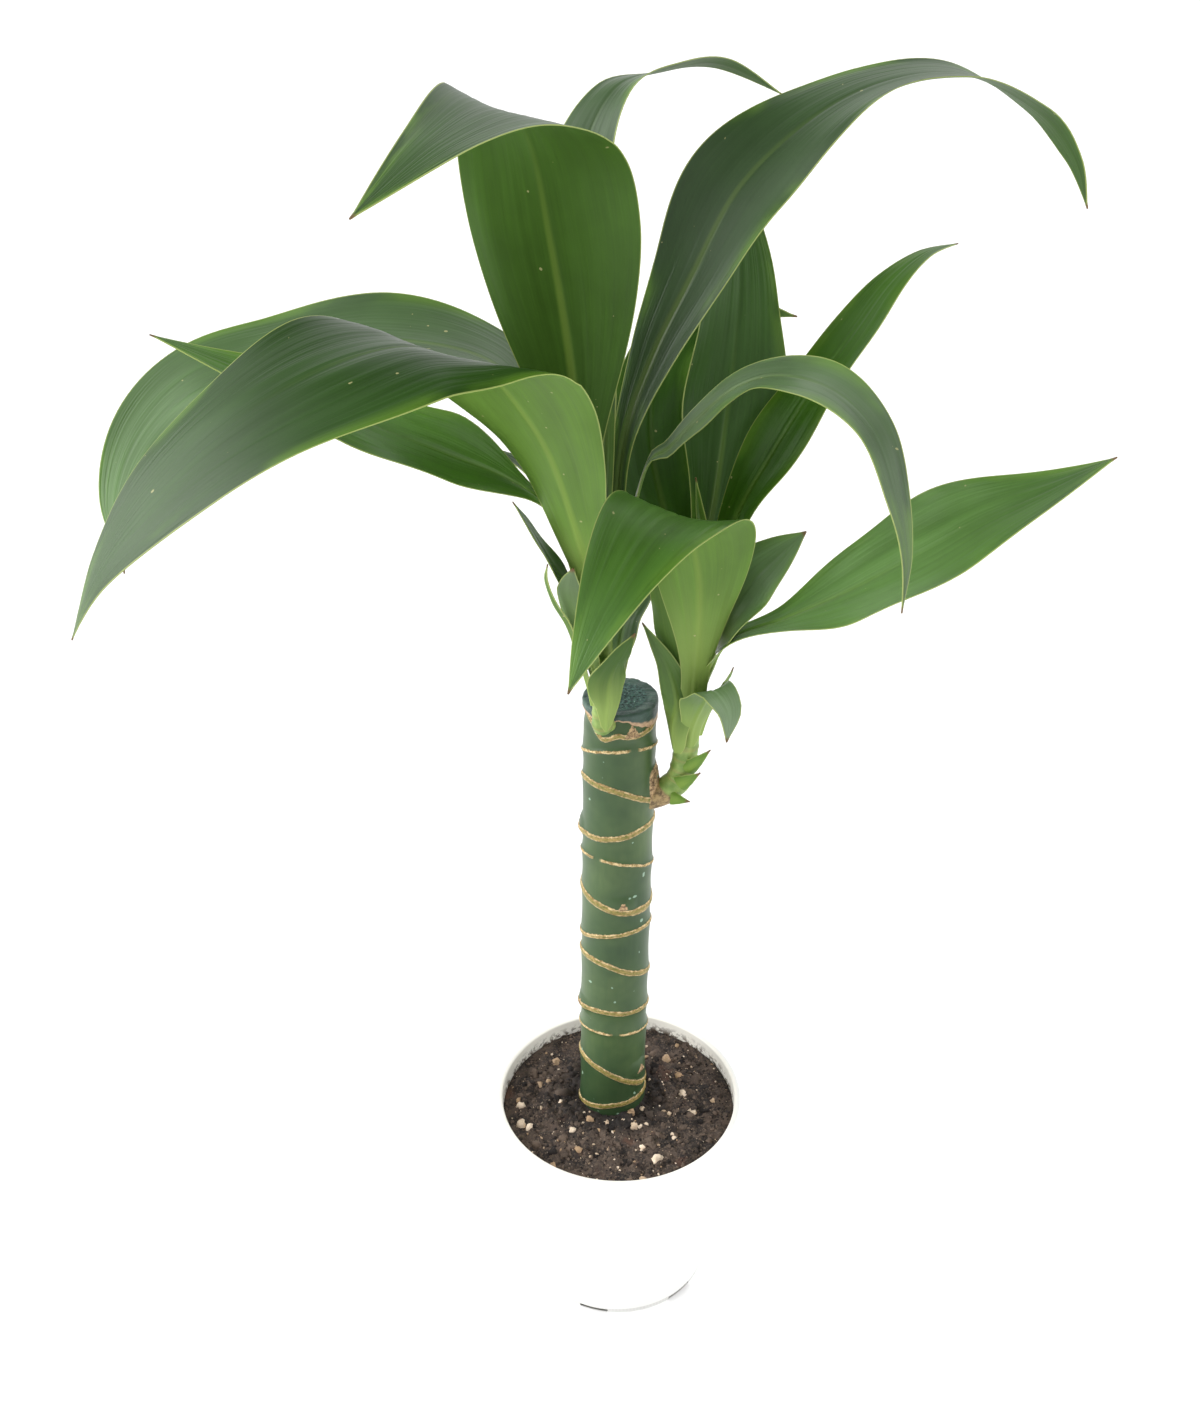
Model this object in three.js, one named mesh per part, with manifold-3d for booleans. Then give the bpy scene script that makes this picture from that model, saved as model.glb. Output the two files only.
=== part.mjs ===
// A potted corn plant: a cut cane with two leafy shoots, standing in soil in a plain white pot.
// Millimetres, +Z up. The origin is the centre of the pot's base, and the plant's front faces -Y.

import * as THREE from "three";
import Module from "manifold-3d";
import { mergeVertices } from "three/addons/utils/BufferGeometryUtils.js";

const wasm = await Module();
wasm.setup();

// ---- Driving dimensions ----

const gap = 0.3; // between pieces that touch
const weld = 1e-3; // points nearer than this are one point

const pot = {
  height: 135,
  rimRadius: 75,
  rimDepth: 9,
  rimStep: 1.8, // how far the rim stands out from the wall below it
  baseRadius: 56,
  wall: 2,
  floor: 5,
  edge: 1.2, // the bevel on its edges
  cove: 3, // the bevel where the wall meets the floor inside
  sides: 56,
};

// Drain slots under the base, each with a hole up through the floor.
const drain = {
  count: 6,
  firstAngle: -106,
  width: 18,
  reach: 11,
  height: 3.2,
  holeInset: 7.6,
  holeRadius: 3.5,
  holeSides: 14,
};

const soil = {
  level: 122,
  heap: 4, // how much higher it lies against the cane
  heapReach: 34,
  roughness: 1.6,
  calmEdge: 4, // how wide the smoother ring by the pot's wall is
  topRings: 12,
};

const perlite = { count: 46, radius: 3.4, height: 2.2, clearance: 6, seed: 11 };

const cane = {
  foot: 62,
  top: 413,
  radius: 20.3,
  footCentre: [-6.7, 9.5],
  topCentre: [-0.5, 9.7],
  sides: 24,
  ringRise: 0.9,
  ringHalfHeight: 1.6,
  waist: 0.7, // how far the side is drawn in between two rings
  plainFoot: 34, // the stretch in the soil that has no rings
  sealHeight: 16, // how far down from the cut the side is drawn in under the wax
  sealInset: 1.5,
  budEdge: 0.9, // the cosine of the angle that a bud reaches to each side
};

// Leaf scars round the cane: height on its axis, rise towards +X and rise towards +Y.
const scarRings = [
  [130, -1, -3],
  [151, -9, -4],
  [180, -1, -6],
  [204, -1, -4],
  [234, -6, -6],
  [261, 4, -6],
  [286, -5, 2],
  [311, -4, -7],
  [334, 4, -1],
  [357, -8, -8],
  [384, 2, -8],
];

// Buds that never opened, and last the callus at the right stem's root: the angle round the cane, the
// height, how proud each stands and how far it reaches up and down.
const restingBuds = [
  [175, 332, 1.6, 7],
  [-80, 288, 1.6, 7],
  [-35, 158, 1.6, 7],
  [-160, 206, 1.6, 7],
  [-12, 362, 3, 13],
];

const wax = {
  thickness: 1.3,
  edge: 0.8,
  dome: 0.8, // how high its middle swells, with a shallow dip at the very centre
  dip: 0.4,
  lip: 1, // how far its inner edge reaches down past the cut
  skirt: 5, // how far it runs down the side
  drip: 9, // how much further on the side where it ran
  dripAngle: -25,
  waves: 5,
  waveDepth: 1.2,
  sides: 36,
};

// A shoot's stem: the points its centre line passes through and its radius at both ends.
const leftShoot = {
  root: [-4, 3, 402],
  elbow: [-9, -13, 412],
  foot: [-10, -18, 423],
  tip: [-8, -22, 516],
  footRadius: 5.4,
  tipRadius: 2.4,
};

const rightShoot = {
  root: [11, 7, 351],
  elbow: [27, 5, 359],
  foot: [35, 4, 383],
  tip: [41, 0, 500],
  footRadius: 6.6,
  tipRadius: 2.6,
};

// Pointed scales on the bend of the right stem: a root inside the stem and a tip.
const stemScales = [
  { root: [34, 2, 374], tip: [47, -7, 391] },
  { root: [30, 2, 363], tip: [42, -8, 376] },
  { root: [26, 3, 356], tip: [36, -6, 357] },
];
const scaleRadius = 4;
const scaleSides = 6;

// How a stem is split, and how much stouter it is at its root and on its bend than at its foot.
const stem = { steps: 18, sides: 14, rootSwell: 1.5, bendSwell: 0.8, lookAhead: 0.01 };

const blade = {
  stationSpacing: 24,
  leastStations: 7,
  mostStations: 17,
  across: 4,
  midribThickness: 1.3,
  marginThickness: 0.8,
  clasp: 1.2, // how far a leaf's base reaches round its shoot each way, in radians
  splay: 0.22, // how fast a leaf's base leaves its shoot
  claspHeight: 16,
  opening: 0.4, // how fast a blade flattens past its base
  cupping: 0.14,
  neck: 0.1, // how far along a leaf its narrow neck reaches
  widest: 0.5,
  taper: 1.6,
  tipWidth: 0.9,
  samples: 200, // how finely the midrib is measured
  ripple: 0.07, // how far the margins wave, as a share of the half width
  ripplePace: 19,
  leastBend: 0.02,
};

// Each leaf: its shoot, the height and the direction it grows from, the way its blade heads, its half
// width, and the points its midrib passes through, as x, y, z and the blade's roll in degrees.
const leafShapes = [
  {
    name: "left_leaf_front_sheath",
    shoot: leftShoot,
    height: 418,
    grows: -75,
    heads: -60,
    halfWidth: 11,
    path: [
      [-6, -33, 452, 0],
      [0, -34, 466, 0],
      [6, -32, 476, 0],
    ],
  },
  {
    name: "left_leaf_short_right",
    shoot: leftShoot,
    height: 424,
    grows: 50,
    heads: 15,
    halfWidth: 11,
    path: [
      [1, -8, 470, 35],
      [9, -3, 482, 35],
      [15, 0, 490, 35],
      [19, 2, 498, 35],
    ],
  },
  {
    name: "left_leaf_curled",
    shoot: leftShoot,
    height: 428,
    grows: -150,
    heads: -140,
    halfWidth: 3,
    clasp: 0.6,
    path: [
      [-26, -34, 479, 0],
      [-33, -40, 497, 0],
      [-37, -45, 512, 0],
      [-36, -54, 525, 0],
    ],
  },
  {
    name: "left_leaf_low",
    shoot: leftShoot,
    height: 445,
    grows: 178,
    heads: 178,
    halfWidth: 7,
    clasp: 1,
    path: [
      [-27, -25, 494, 0],
      [-36, -29, 515, 0],
      [-44, -35, 534, 0],
      [-52, -43, 552, 0],
    ],
  },
  {
    name: "left_leaf_blunt",
    shoot: leftShoot,
    height: 436,
    grows: -125,
    heads: -130,
    halfWidth: 5,
    clasp: 0.8,
    path: [
      [-25, -37, 496, 0],
      [-26, -43, 509, 0],
      [-24, -50, 521, 0],
    ],
  },
  {
    name: "left_leaf_under",
    shoot: leftShoot,
    height: 454,
    grows: 185,
    heads: 175,
    halfWidth: 26,
    widest: 0.42,
    clasp: 1.1,
    neck: 0.16,
    path: [
      [-23, -20, 513, 5],
      [-36, -24, 541, -5],
      [-58, -30, 567, -12],
      [-82, -36, 584, -15],
      [-111, -41, 601, -15],
      [-143, -45, 617, -15],
      [-176, -48, 626, -12],
      [-208, -50, 633, 0],
    ],
  },
  {
    name: "left_leaf_back_low",
    shoot: leftShoot,
    height: 462,
    grows: 108,
    heads: 160,
    halfWidth: 12,
    path: [
      [-30, 0, 527, 0],
      [-39, 6, 539, 0],
      [-51, 12, 548, 0],
      [-67, 18, 554, 0],
    ],
  },
  {
    name: "left_leaf_sweeping",
    shoot: leftShoot,
    height: 470,
    grows: -110,
    heads: -160,
    halfWidth: 43,
    cupping: -0.38,
    path: [
      [-24, -44, 543, 34],
      [-33, -54, 577, 34],
      [-44, -64, 603, 34],
      [-57, -76, 625, 28],
      [-73, -90, 639, 18],
      [-93, -104, 650, 4],
      [-121, -120, 648, -10],
      [-156, -134, 632, -18],
      [-187, -142, 605, -17],
      [-213, -144, 570, -8],
      [-233, -142, 534, 0],
    ],
  },
  {
    name: "left_leaf_back_arching",
    shoot: leftShoot,
    height: 478,
    grows: 165,
    heads: 180,
    halfWidth: 32,
    path: [
      [-26, -8, 547, 0],
      [-37, 4, 571, 0],
      [-56, 14, 591, 0],
      [-74, 22, 600, 0],
      [-103, 30, 605, -4],
      [-139, 36, 603, -8],
      [-178, 40, 594, -12],
      [-218, 38, 581, -15],
      [-248, 24, 557, -15],
      [-258, 0, 531, -10],
      [-246, -28, 506, -5],
    ],
  },
  {
    name: "left_leaf_drooping_right",
    shoot: leftShoot,
    height: 485,
    grows: 30,
    heads: -40,
    halfWidth: 15.5,
    neck: 0.2,
    widest: 0.55,
    path: [
      [10, -8, 552, 32],
      [22, -3, 562, 50],
      [35, 0, 575, 52],
      [52, -8, 594, 38],
      [71, -26, 607, 16],
      [89, -58, 612, 4],
      [102, -94, 606, 0],
      [110, -124, 587, 0],
      [113, -138, 570, 0],
      [113, -150, 551, 0],
    ],
  },
  {
    name: "left_leaf_upright",
    shoot: leftShoot,
    height: 492,
    grows: -92,
    heads: -112,
    halfWidth: 38,
    widest: 0.48,
    neck: 0.12,
    path: [
      [-19, -40, 567, 20],
      [-25, -48, 626, 20],
      [-32, -62, 679, 12],
      [-38, -90, 724, 0],
      [-46, -130, 747, -8],
      [-65, -180, 748, -4],
      [-90, -225, 733, 0],
    ],
  },
  {
    name: "left_leaf_back_high",
    shoot: leftShoot,
    height: 499,
    grows: 116,
    heads: 35,
    halfWidth: 17,
    neck: 0.2,
    path: [
      [-9, 0, 585, 32],
      [-15, 20, 646, 30],
      [-16, 40, 683, 22],
      [-1, 60, 712, 2],
      [21, 78, 721, -22],
      [49, 98, 719, -30],
      [80, 115, 701, -25],
    ],
  },
  {
    name: "left_leaf_arching_right",
    shoot: leftShoot,
    height: 506,
    grows: 60,
    heads: 25,
    halfWidth: 30,
    widest: 0.5,
    neck: 0.16,
    path: [
      [2, 0, 565, 30],
      [18, 16, 604, 28],
      [37, 34, 636, 25],
      [58, 52, 670, 20],
      [88, 68, 695, 10],
      [124, 82, 709, 2],
      [167, 90, 715, 0],
      [202, 85, 702, -5],
      [225, 62, 659, -10],
    ],
  },
  {
    name: "right_leaf_basal",
    shoot: rightShoot,
    height: 386,
    grows: 187,
    heads: 180,
    halfWidth: 9.5,
    clasp: 0.9,
    path: [
      [27, -6, 422, 15],
      [23, -9, 443, 20],
      [18, -9, 456, 20],
      [11, -8, 468, 15],
    ],
  },
  {
    name: "right_leaf_drooping_small",
    shoot: rightShoot,
    height: 391,
    grows: -82,
    heads: -65,
    halfWidth: 8,
    clasp: 0.9,
    path: [
      [43, -20, 430, 0],
      [46, -28, 441, 0],
      [50, -33, 435, 0],
      [52, -36, 419, 0],
    ],
  },
  {
    name: "right_leaf_scale",
    shoot: rightShoot,
    height: 396,
    grows: -24,
    heads: -28,
    halfWidth: 8,
    clasp: 0.6,
    path: [
      [54, -10, 434, 0],
      [57, -14, 446, 0],
    ],
  },
  {
    name: "right_leaf_behind_front",
    shoot: rightShoot,
    height: 413,
    grows: -140,
    heads: -160,
    halfWidth: 9,
    path: [
      [31, -5, 448, 0],
      [23, -9, 476, 0],
      [14, -13, 497, 0],
      [9, -15, 516, 0],
    ],
  },
  {
    name: "right_leaf_front",
    shoot: rightShoot,
    height: 404,
    grows: -88,
    heads: -118,
    halfWidth: 31,
    path: [
      [38, -22, 480, 25],
      [35, -34, 518, 15],
      [26, -58, 551, -4],
      [12, -92, 563, -10],
      [-2, -118, 554, -10],
      [-15, -138, 534, -6],
      [-25, -150, 512, 0],
    ],
  },
  {
    name: "right_leaf_spreading",
    shoot: rightShoot,
    height: 420,
    grows: -8,
    heads: -19,
    halfWidth: 28,
    neck: 0.16,
    widest: 0.57,
    path: [
      [60, -12, 467, 10],
      [83, -22, 482, 18],
      [110, -35, 503, 24],
      [138, -48, 528, 26],
      [166, -58, 551, 22],
      [193, -65, 569, 15],
      [217, -70, 586, 5],
    ],
  },
  {
    name: "right_leaf_short",
    shoot: rightShoot,
    height: 428,
    grows: -4,
    heads: 0,
    halfWidth: 16,
    clasp: 0.8,
    path: [
      [53, -5, 471, 30],
      [63, -5, 491, 35],
      [74, -7, 506, 40],
      [89, -10, 520, 40],
    ],
  },
  {
    name: "right_leaf_back_left",
    shoot: rightShoot,
    height: 436,
    grows: 125,
    heads: 90,
    halfWidth: 20,
    clasp: 1,
    path: [
      [25, 20, 500, 20],
      [15, 30, 545, 10],
      [16, 44, 580, 0],
      [30, 56, 602, 0],
      [56, 64, 612, 0],
      [88, 66, 608, 0],
    ],
  },
  {
    name: "right_leaf_straight",
    shoot: rightShoot,
    height: 444,
    grows: 64,
    heads: 35,
    halfWidth: 16,
    neck: 0.1,
    clasp: 0.9,
    path: [
      [57, 12, 517, 0],
      [74, 18, 550, 0],
      [94, 26, 582, 0],
      [113, 36, 607, 0],
      [131, 48, 626, 0],
      [149, 62, 635, 0],
      [167, 76, 637, 0],
    ],
  },
  {
    name: "right_leaf_broad_back",
    shoot: rightShoot,
    height: 452,
    grows: 118,
    heads: 105,
    halfWidth: 29,
    clasp: 1,
    path: [
      [46, 22, 520, 10],
      [51, 34, 555, 10],
      [55, 44, 590, 10],
      [57, 54, 625, 10],
      [56, 66, 655, 10],
      [56, 82, 680, 10],
    ],
  },
  {
    name: "right_leaf_spear",
    shoot: rightShoot,
    height: 462,
    grows: -120,
    heads: -120,
    halfWidth: 4,
    path: [
      [39, -7, 515, 0],
      [37, -7, 535, 0],
      [35, -6, 548, 0],
    ],
  },
];

// ---- Small helpers ----

const radians = THREE.MathUtils.degToRad;
const { lerp, smoothstep } = THREE.MathUtils;

// Weld a geometry so that only shared positions are left.
function welded(geometry) {
  geometry.deleteAttribute("normal");
  geometry.deleteAttribute("uv");
  return mergeVertices(geometry, weld);
}

function toSolid(geometry) {
  const closed = welded(geometry);
  const vertProperties = new Float32Array(closed.attributes.position.array);
  const triVerts = new Uint32Array(closed.index.array);
  return new wasm.Manifold(new wasm.Mesh({ numProp: 3, vertProperties, triVerts }));
}

function toGeometry(solid) {
  const { vertProperties, triVerts } = solid.getMesh();
  const geometry = new THREE.BufferGeometry();
  geometry.setAttribute("position", new THREE.BufferAttribute(vertProperties, 3));
  geometry.setIndex(new THREE.BufferAttribute(triVerts, 1));
  return geometry;
}

// The biggest piece of a solid, without the scraps that a cut leaves.
function largestBody(solid) {
  return solid.decompose().reduce((best, body) => (body.volume() > best.volume() ? body : best));
}

// Move every vertex of a geometry by a rule.
function reshape(geometry, rule) {
  const position = geometry.attributes.position;
  const point = new THREE.Vector3();
  for (let i = 0; i < position.count; i++) {
    rule(point.fromBufferAttribute(position, i));
    position.setXYZ(i, point.x, point.y, point.z);
  }
  return geometry;
}

// A row of numbers on the smooth curve through the given rows; place runs from 0 to rows.length - 1.
function onCurve(rows, place) {
  const last = rows.length - 1;
  const i = Math.min(Math.floor(place), last - 1);
  const t = place - i;
  const before = rows[Math.max(i - 1, 0)];
  const after = rows[Math.min(i + 2, last)];
  return rows[i].map((from, k) => {
    const to = rows[i + 1][k];
    const leave = (to - before[k]) / 2;
    const arrive = (after[k] - from) / 2;
    const turn = 2 * (from - to) + leave + arrive;
    return ((turn * t - turn + to - from - leave) * t + leave) * t + from;
  });
}

// A solid of revolution round the Z axis, from pairs of radius and height.
function turned(profile, sides) {
  const points = profile.map(([radius, height]) => new THREE.Vector2(radius, height));
  return new THREE.LatheGeometry(points, sides).rotateX(Math.PI / 2);
}

// Random numbers from 0 to 1 that come out the same each time.
function randomFrom(seed) {
  let state = seed;
  return () => {
    state = (state * 16807) % 2147483647;
    return state / 2147483647;
  };
}

// Soft lumps over a plane, between -1 and 1.
function lumps(x, y) {
  const broad = Math.sin(x * 0.11 + 1.3) * Math.cos(y * 0.13 - 0.4);
  const middle = Math.sin(x * 0.31 + y * 0.17) * Math.cos(y * 0.37 - x * 0.12);
  const fine = Math.sin(x * 0.71 - y * 0.52) * Math.cos(y * 0.83 + x * 0.44);
  return 0.4 * broad + 0.35 * middle + 0.25 * fine;
}

// ---- Pot ----

function potWallRadius(height) {
  const shoulder = pot.height - pot.rimDepth;
  return lerp(pot.baseRadius, pot.rimRadius - pot.rimStep, height / shoulder);
}

function potGeometry() {
  const shoulder = pot.height - pot.rimDepth;
  const inside = (height) => potWallRadius(height) - pot.wall;
  const profile = [
    [0, 0],
    [pot.baseRadius - pot.edge, 0],
    [pot.baseRadius, pot.edge],
    [potWallRadius(shoulder), shoulder],
    [pot.rimRadius, shoulder + pot.edge],
    [pot.rimRadius, pot.height - pot.edge],
    [pot.rimRadius - pot.edge, pot.height],
    [inside(shoulder) + pot.edge, pot.height],
    [inside(shoulder), pot.height - pot.edge],
    [inside(shoulder), shoulder],
    [inside(pot.floor + pot.cove), pot.floor + pot.cove],
    [inside(pot.floor) - pot.cove, pot.floor],
    [0, pot.floor],
  ];
  let solid = toSolid(turned(profile, pot.sides));
  for (let i = 0; i < drain.count; i++) {
    const angle = radians(drain.firstAngle + (360 / drain.count) * i);
    const slot = new THREE.BoxGeometry(2 * drain.reach, drain.width, 2 * drain.height);
    slot.translate(pot.baseRadius, 0, 0).rotateZ(angle);
    const { holeRadius, holeSides, holeInset } = drain;
    const hole = new THREE.CylinderGeometry(holeRadius, holeRadius, 3 * pot.floor, holeSides);
    hole.rotateX(Math.PI / 2).translate(pot.baseRadius - holeInset, 0, 0).rotateZ(angle);
    solid = solid.subtract(toSolid(slot)).subtract(toSolid(hole));
  }
  return toGeometry(solid);
}

// ---- Soil ----

function caneCentre(height) {
  const t = (height - cane.foot) / (cane.top - cane.foot);
  return [
    lerp(cane.footCentre[0], cane.topCentre[0], t),
    lerp(cane.footCentre[1], cane.topCentre[1], t),
  ];
}

function scatterPerlite() {
  const random = randomFrom(perlite.seed);
  const edge = potWallRadius(soil.level) - pot.wall - perlite.radius;
  return Array.from({ length: perlite.count }, () => {
    const angle = random() * 2 * Math.PI;
    const distance = lerp(cane.radius + perlite.clearance, edge, Math.sqrt(random()));
    return [distance * Math.cos(angle), distance * Math.sin(angle), lerp(0.6, 1, random())];
  });
}

const perliteBits = scatterPerlite();

function soilHeight(x, y) {
  const [centreX, centreY] = caneCentre(soil.level);
  const fromCane = Math.hypot(x - centreX, y - centreY);
  const heap = soil.heap * (1 - smoothstep(fromCane, cane.radius, cane.radius + soil.heapReach));
  const bumps = perliteBits.map(([bitX, bitY, size]) => {
    const reach = Math.hypot(x - bitX, y - bitY) / (perlite.radius * size);
    return perlite.height * size * Math.max(0, 1 - reach * reach);
  });
  return soil.level + heap + soil.roughness * lumps(x, y) + Math.max(...bumps);
}

// A plug that fills the pot, with a blind hole for the cane and a crumbly top.
function soilGeometry() {
  const wallAt = (height) => potWallRadius(height) - pot.wall - gap;
  const hole = cane.radius + cane.ringRise + 2 * gap;
  const holeFloor = cane.foot - gap;
  const bottom = pot.floor + gap;
  const rim = wallAt(soil.level);
  const profile = [
    [0, bottom],
    [wallAt(pot.floor) - pot.cove, bottom],
    [wallAt(bottom + pot.cove), bottom + pot.cove],
  ];
  for (let i = 0; i <= soil.topRings; i++) profile.push([lerp(rim, hole, i / soil.topRings), soil.level]);
  profile.push([hole, holeFloor], [0, holeFloor]);
  return reshape(turned(profile, pot.sides), (point) => {
    const radius = Math.hypot(point.x, point.y);
    const towardsHole = point.z < holeFloor - 1 ? 0 : 1 - smoothstep(radius, hole, rim);
    const [centreX, centreY] = caneCentre(point.z);
    point.x += centreX * towardsHole;
    point.y += centreY * towardsHole;
    if (point.z > soil.level - 1) {
      const rough = 1 - smoothstep(radius, rim - soil.calmEdge, rim);
      point.z = lerp(soil.level - soil.roughness, soilHeight(point.x, point.y), rough);
    }
  });
}

// ---- Cane ----

// Where each row of the cane's side lies: its height, its slant and how proud of the side it stands.
function caneRows() {
  const rows = [];
  const steps = [
    [-1, 0],
    [-0.35, 1],
    [0.35, 1],
    [1, 0],
  ];
  scarRings.forEach(([height, riseX, riseY], i) => {
    steps.forEach(([step, proud]) => {
      rows.push([height + step * cane.ringHalfHeight, riseX, riseY, proud * cane.ringRise]);
    });
    const next = scarRings[i + 1];
    if (next) {
      const between = next.map((value, k) => (value + scarRings[i][k]) / 2);
      rows.push([...between, -cane.waist]);
    }
  });
  rows.unshift([cane.foot, 0, 0, 0], [cane.foot + cane.plainFoot, 0, 0, 0]);
  rows.push([cane.top - cane.sealHeight - 1, 0, 0, 0]);
  rows.push([cane.top - cane.sealHeight, 0, 0, -cane.sealInset], [cane.top, 0, 0, -cane.sealInset]);
  return rows;
}

function caneGeometry(margin) {
  const rows = caneRows();
  const last = rows.length - 1;
  const geometry = new THREE.CylinderGeometry(1, 1, last, cane.sides, last);
  geometry.rotateX(Math.PI / 2).translate(0, 0, last / 2);
  return reshape(geometry, (point) => {
    const row = rows[Math.round(point.z)];
    const [height, riseX, riseY, proud] = row;
    const angle = Math.atan2(point.y, point.x);
    const z = height + riseX * point.x + riseY * point.y;
    const bud = restingBuds.map(([degrees, budHeight, budProud, reach]) => {
      const towards = Math.max(0, Math.cos(angle - radians(degrees)) - cane.budEdge) / (1 - cane.budEdge);
      return budProud * towards * Math.max(0, 1 - ((z - budHeight) / reach) ** 2);
    });
    const radius = (cane.radius + margin + proud + Math.max(...bud)) * Math.hypot(point.x, point.y);
    const [centreX, centreY] = caneCentre(z);
    point.set(centreX + radius * Math.cos(angle), centreY + radius * Math.sin(angle), z);
  });
}

// The wax that seals the cut: a shallow cap whose skirt runs down the cane's side.
function waxGeometry() {
  const inner = cane.radius - cane.sealInset + gap;
  const outer = inner + wax.thickness;
  const top = gap + wax.thickness;
  const profile = [
    [0, gap],
    [inner, gap],
    [inner, -wax.lip],
    [outer, -wax.lip],
    [outer, top - wax.edge],
    [outer - wax.edge, top],
    [(outer * 2) / 3, top + wax.dome / 3],
    [outer / 3, top + wax.dome],
    [0, top + wax.dome - wax.dip],
  ];
  const geometry = reshape(turned(profile, wax.sides), (point) => {
    if (point.z < 0) {
      const angle = Math.atan2(point.y, point.x);
      const towardsDrip = Math.max(0, Math.cos(angle - radians(wax.dripAngle)));
      const wave = wax.waveDepth * Math.sin(wax.waves * angle);
      point.z = -wax.skirt - wax.drip * towardsDrip ** 3 - wave;
    }
    const [centreX, centreY] = caneCentre(cane.top + point.z);
    point.add(new THREE.Vector3(centreX, centreY, cane.top));
  });
  return toGeometry(largestBody(toSolid(geometry).subtract(shootSolid(leftShoot, gap))));
}

// ---- Shoots ----

// A shoot's centre and radius at a height above its foot.
function shootAt(shoot, height) {
  const t = Math.min(Math.max((height - shoot.foot[2]) / (shoot.tip[2] - shoot.foot[2]), 0), 1);
  return {
    x: lerp(shoot.foot[0], shoot.tip[0], t),
    y: lerp(shoot.foot[1], shoot.tip[1], t),
    radius: lerp(shoot.footRadius, shoot.tipRadius, t),
  };
}

// A round stem that bends out of the cane and tapers to its tip.
function shootSolid(shoot, margin) {
  const rows = [
    [...shoot.root, shoot.footRadius + stem.rootSwell + margin],
    [...shoot.elbow, shoot.footRadius + stem.bendSwell + margin],
    [...shoot.foot, shoot.footRadius + margin],
    [...shoot.tip, shoot.tipRadius + margin],
  ];
  const last = rows.length - 1;
  const { steps, sides, lookAhead } = stem;
  const geometry = new THREE.CylinderGeometry(1, 1, steps, sides, steps);
  geometry.rotateX(Math.PI / 2).translate(0, 0, steps / 2);
  reshape(geometry, (point) => {
    const place = (point.z / steps) * last;
    const [x, y, z, radius] = onCurve(rows, place);
    const ahead = new THREE.Vector3(...onCurve(rows, Math.min(place + lookAhead, last)));
    const behind = new THREE.Vector3(...onCurve(rows, Math.max(place - lookAhead, 0)));
    const along = ahead.sub(behind).normalize();
    const across = new THREE.Vector3(0, 1, 0).cross(along).normalize();
    const third = along.clone().cross(across);
    const offset = across.multiplyScalar(point.x * radius).addScaledVector(third, point.y * radius);
    point.set(x, y, z).add(offset);
  });
  return toSolid(geometry);
}

function scaleSolid({ root, tip }) {
  const from = new THREE.Vector3(...root);
  const along = new THREE.Vector3(...tip).sub(from);
  const cone = new THREE.ConeGeometry(scaleRadius, along.length(), scaleSides);
  cone.translate(0, along.length() / 2, 0);
  const up = THREE.Object3D.DEFAULT_UP;
  cone.applyQuaternion(new THREE.Quaternion().setFromUnitVectors(up, along.normalize()));
  return toSolid(cone.translate(...root));
}

// The stem as it grows from the cane, with its scales: its root is cut to the cane's side.
function shootGeometry(shoot, scales) {
  const whole = scales.reduce((solid, scale) => solid.add(scaleSolid(scale)), shootSolid(shoot, 0));
  return toGeometry(largestBody(whole.subtract(toSolid(caneGeometry(gap)))));
}

// ---- Leaves ----

// The midrib's rows: two that climb out round the shoot, then the hand-placed points.
function midribRows(leaf) {
  const direction = radians(leaf.grows);
  const turn = leaf.grows - leaf.heads;
  const base = [0, blade.claspHeight].map((climb) => {
    const { x, y } = shootAt(leaf.shoot, leaf.height + climb);
    const facet = Math.cos(blade.clasp / blade.across);
    const start = (shootAt(leaf.shoot, leaf.height).radius + blade.midribThickness / 2 + gap) / facet;
    const radius = start + blade.splay * climb;
    const z = leaf.height + climb;
    return [x + radius * Math.cos(direction), y + radius * Math.sin(direction), z, turn];
  });
  return [...base, ...leaf.path];
}

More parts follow.
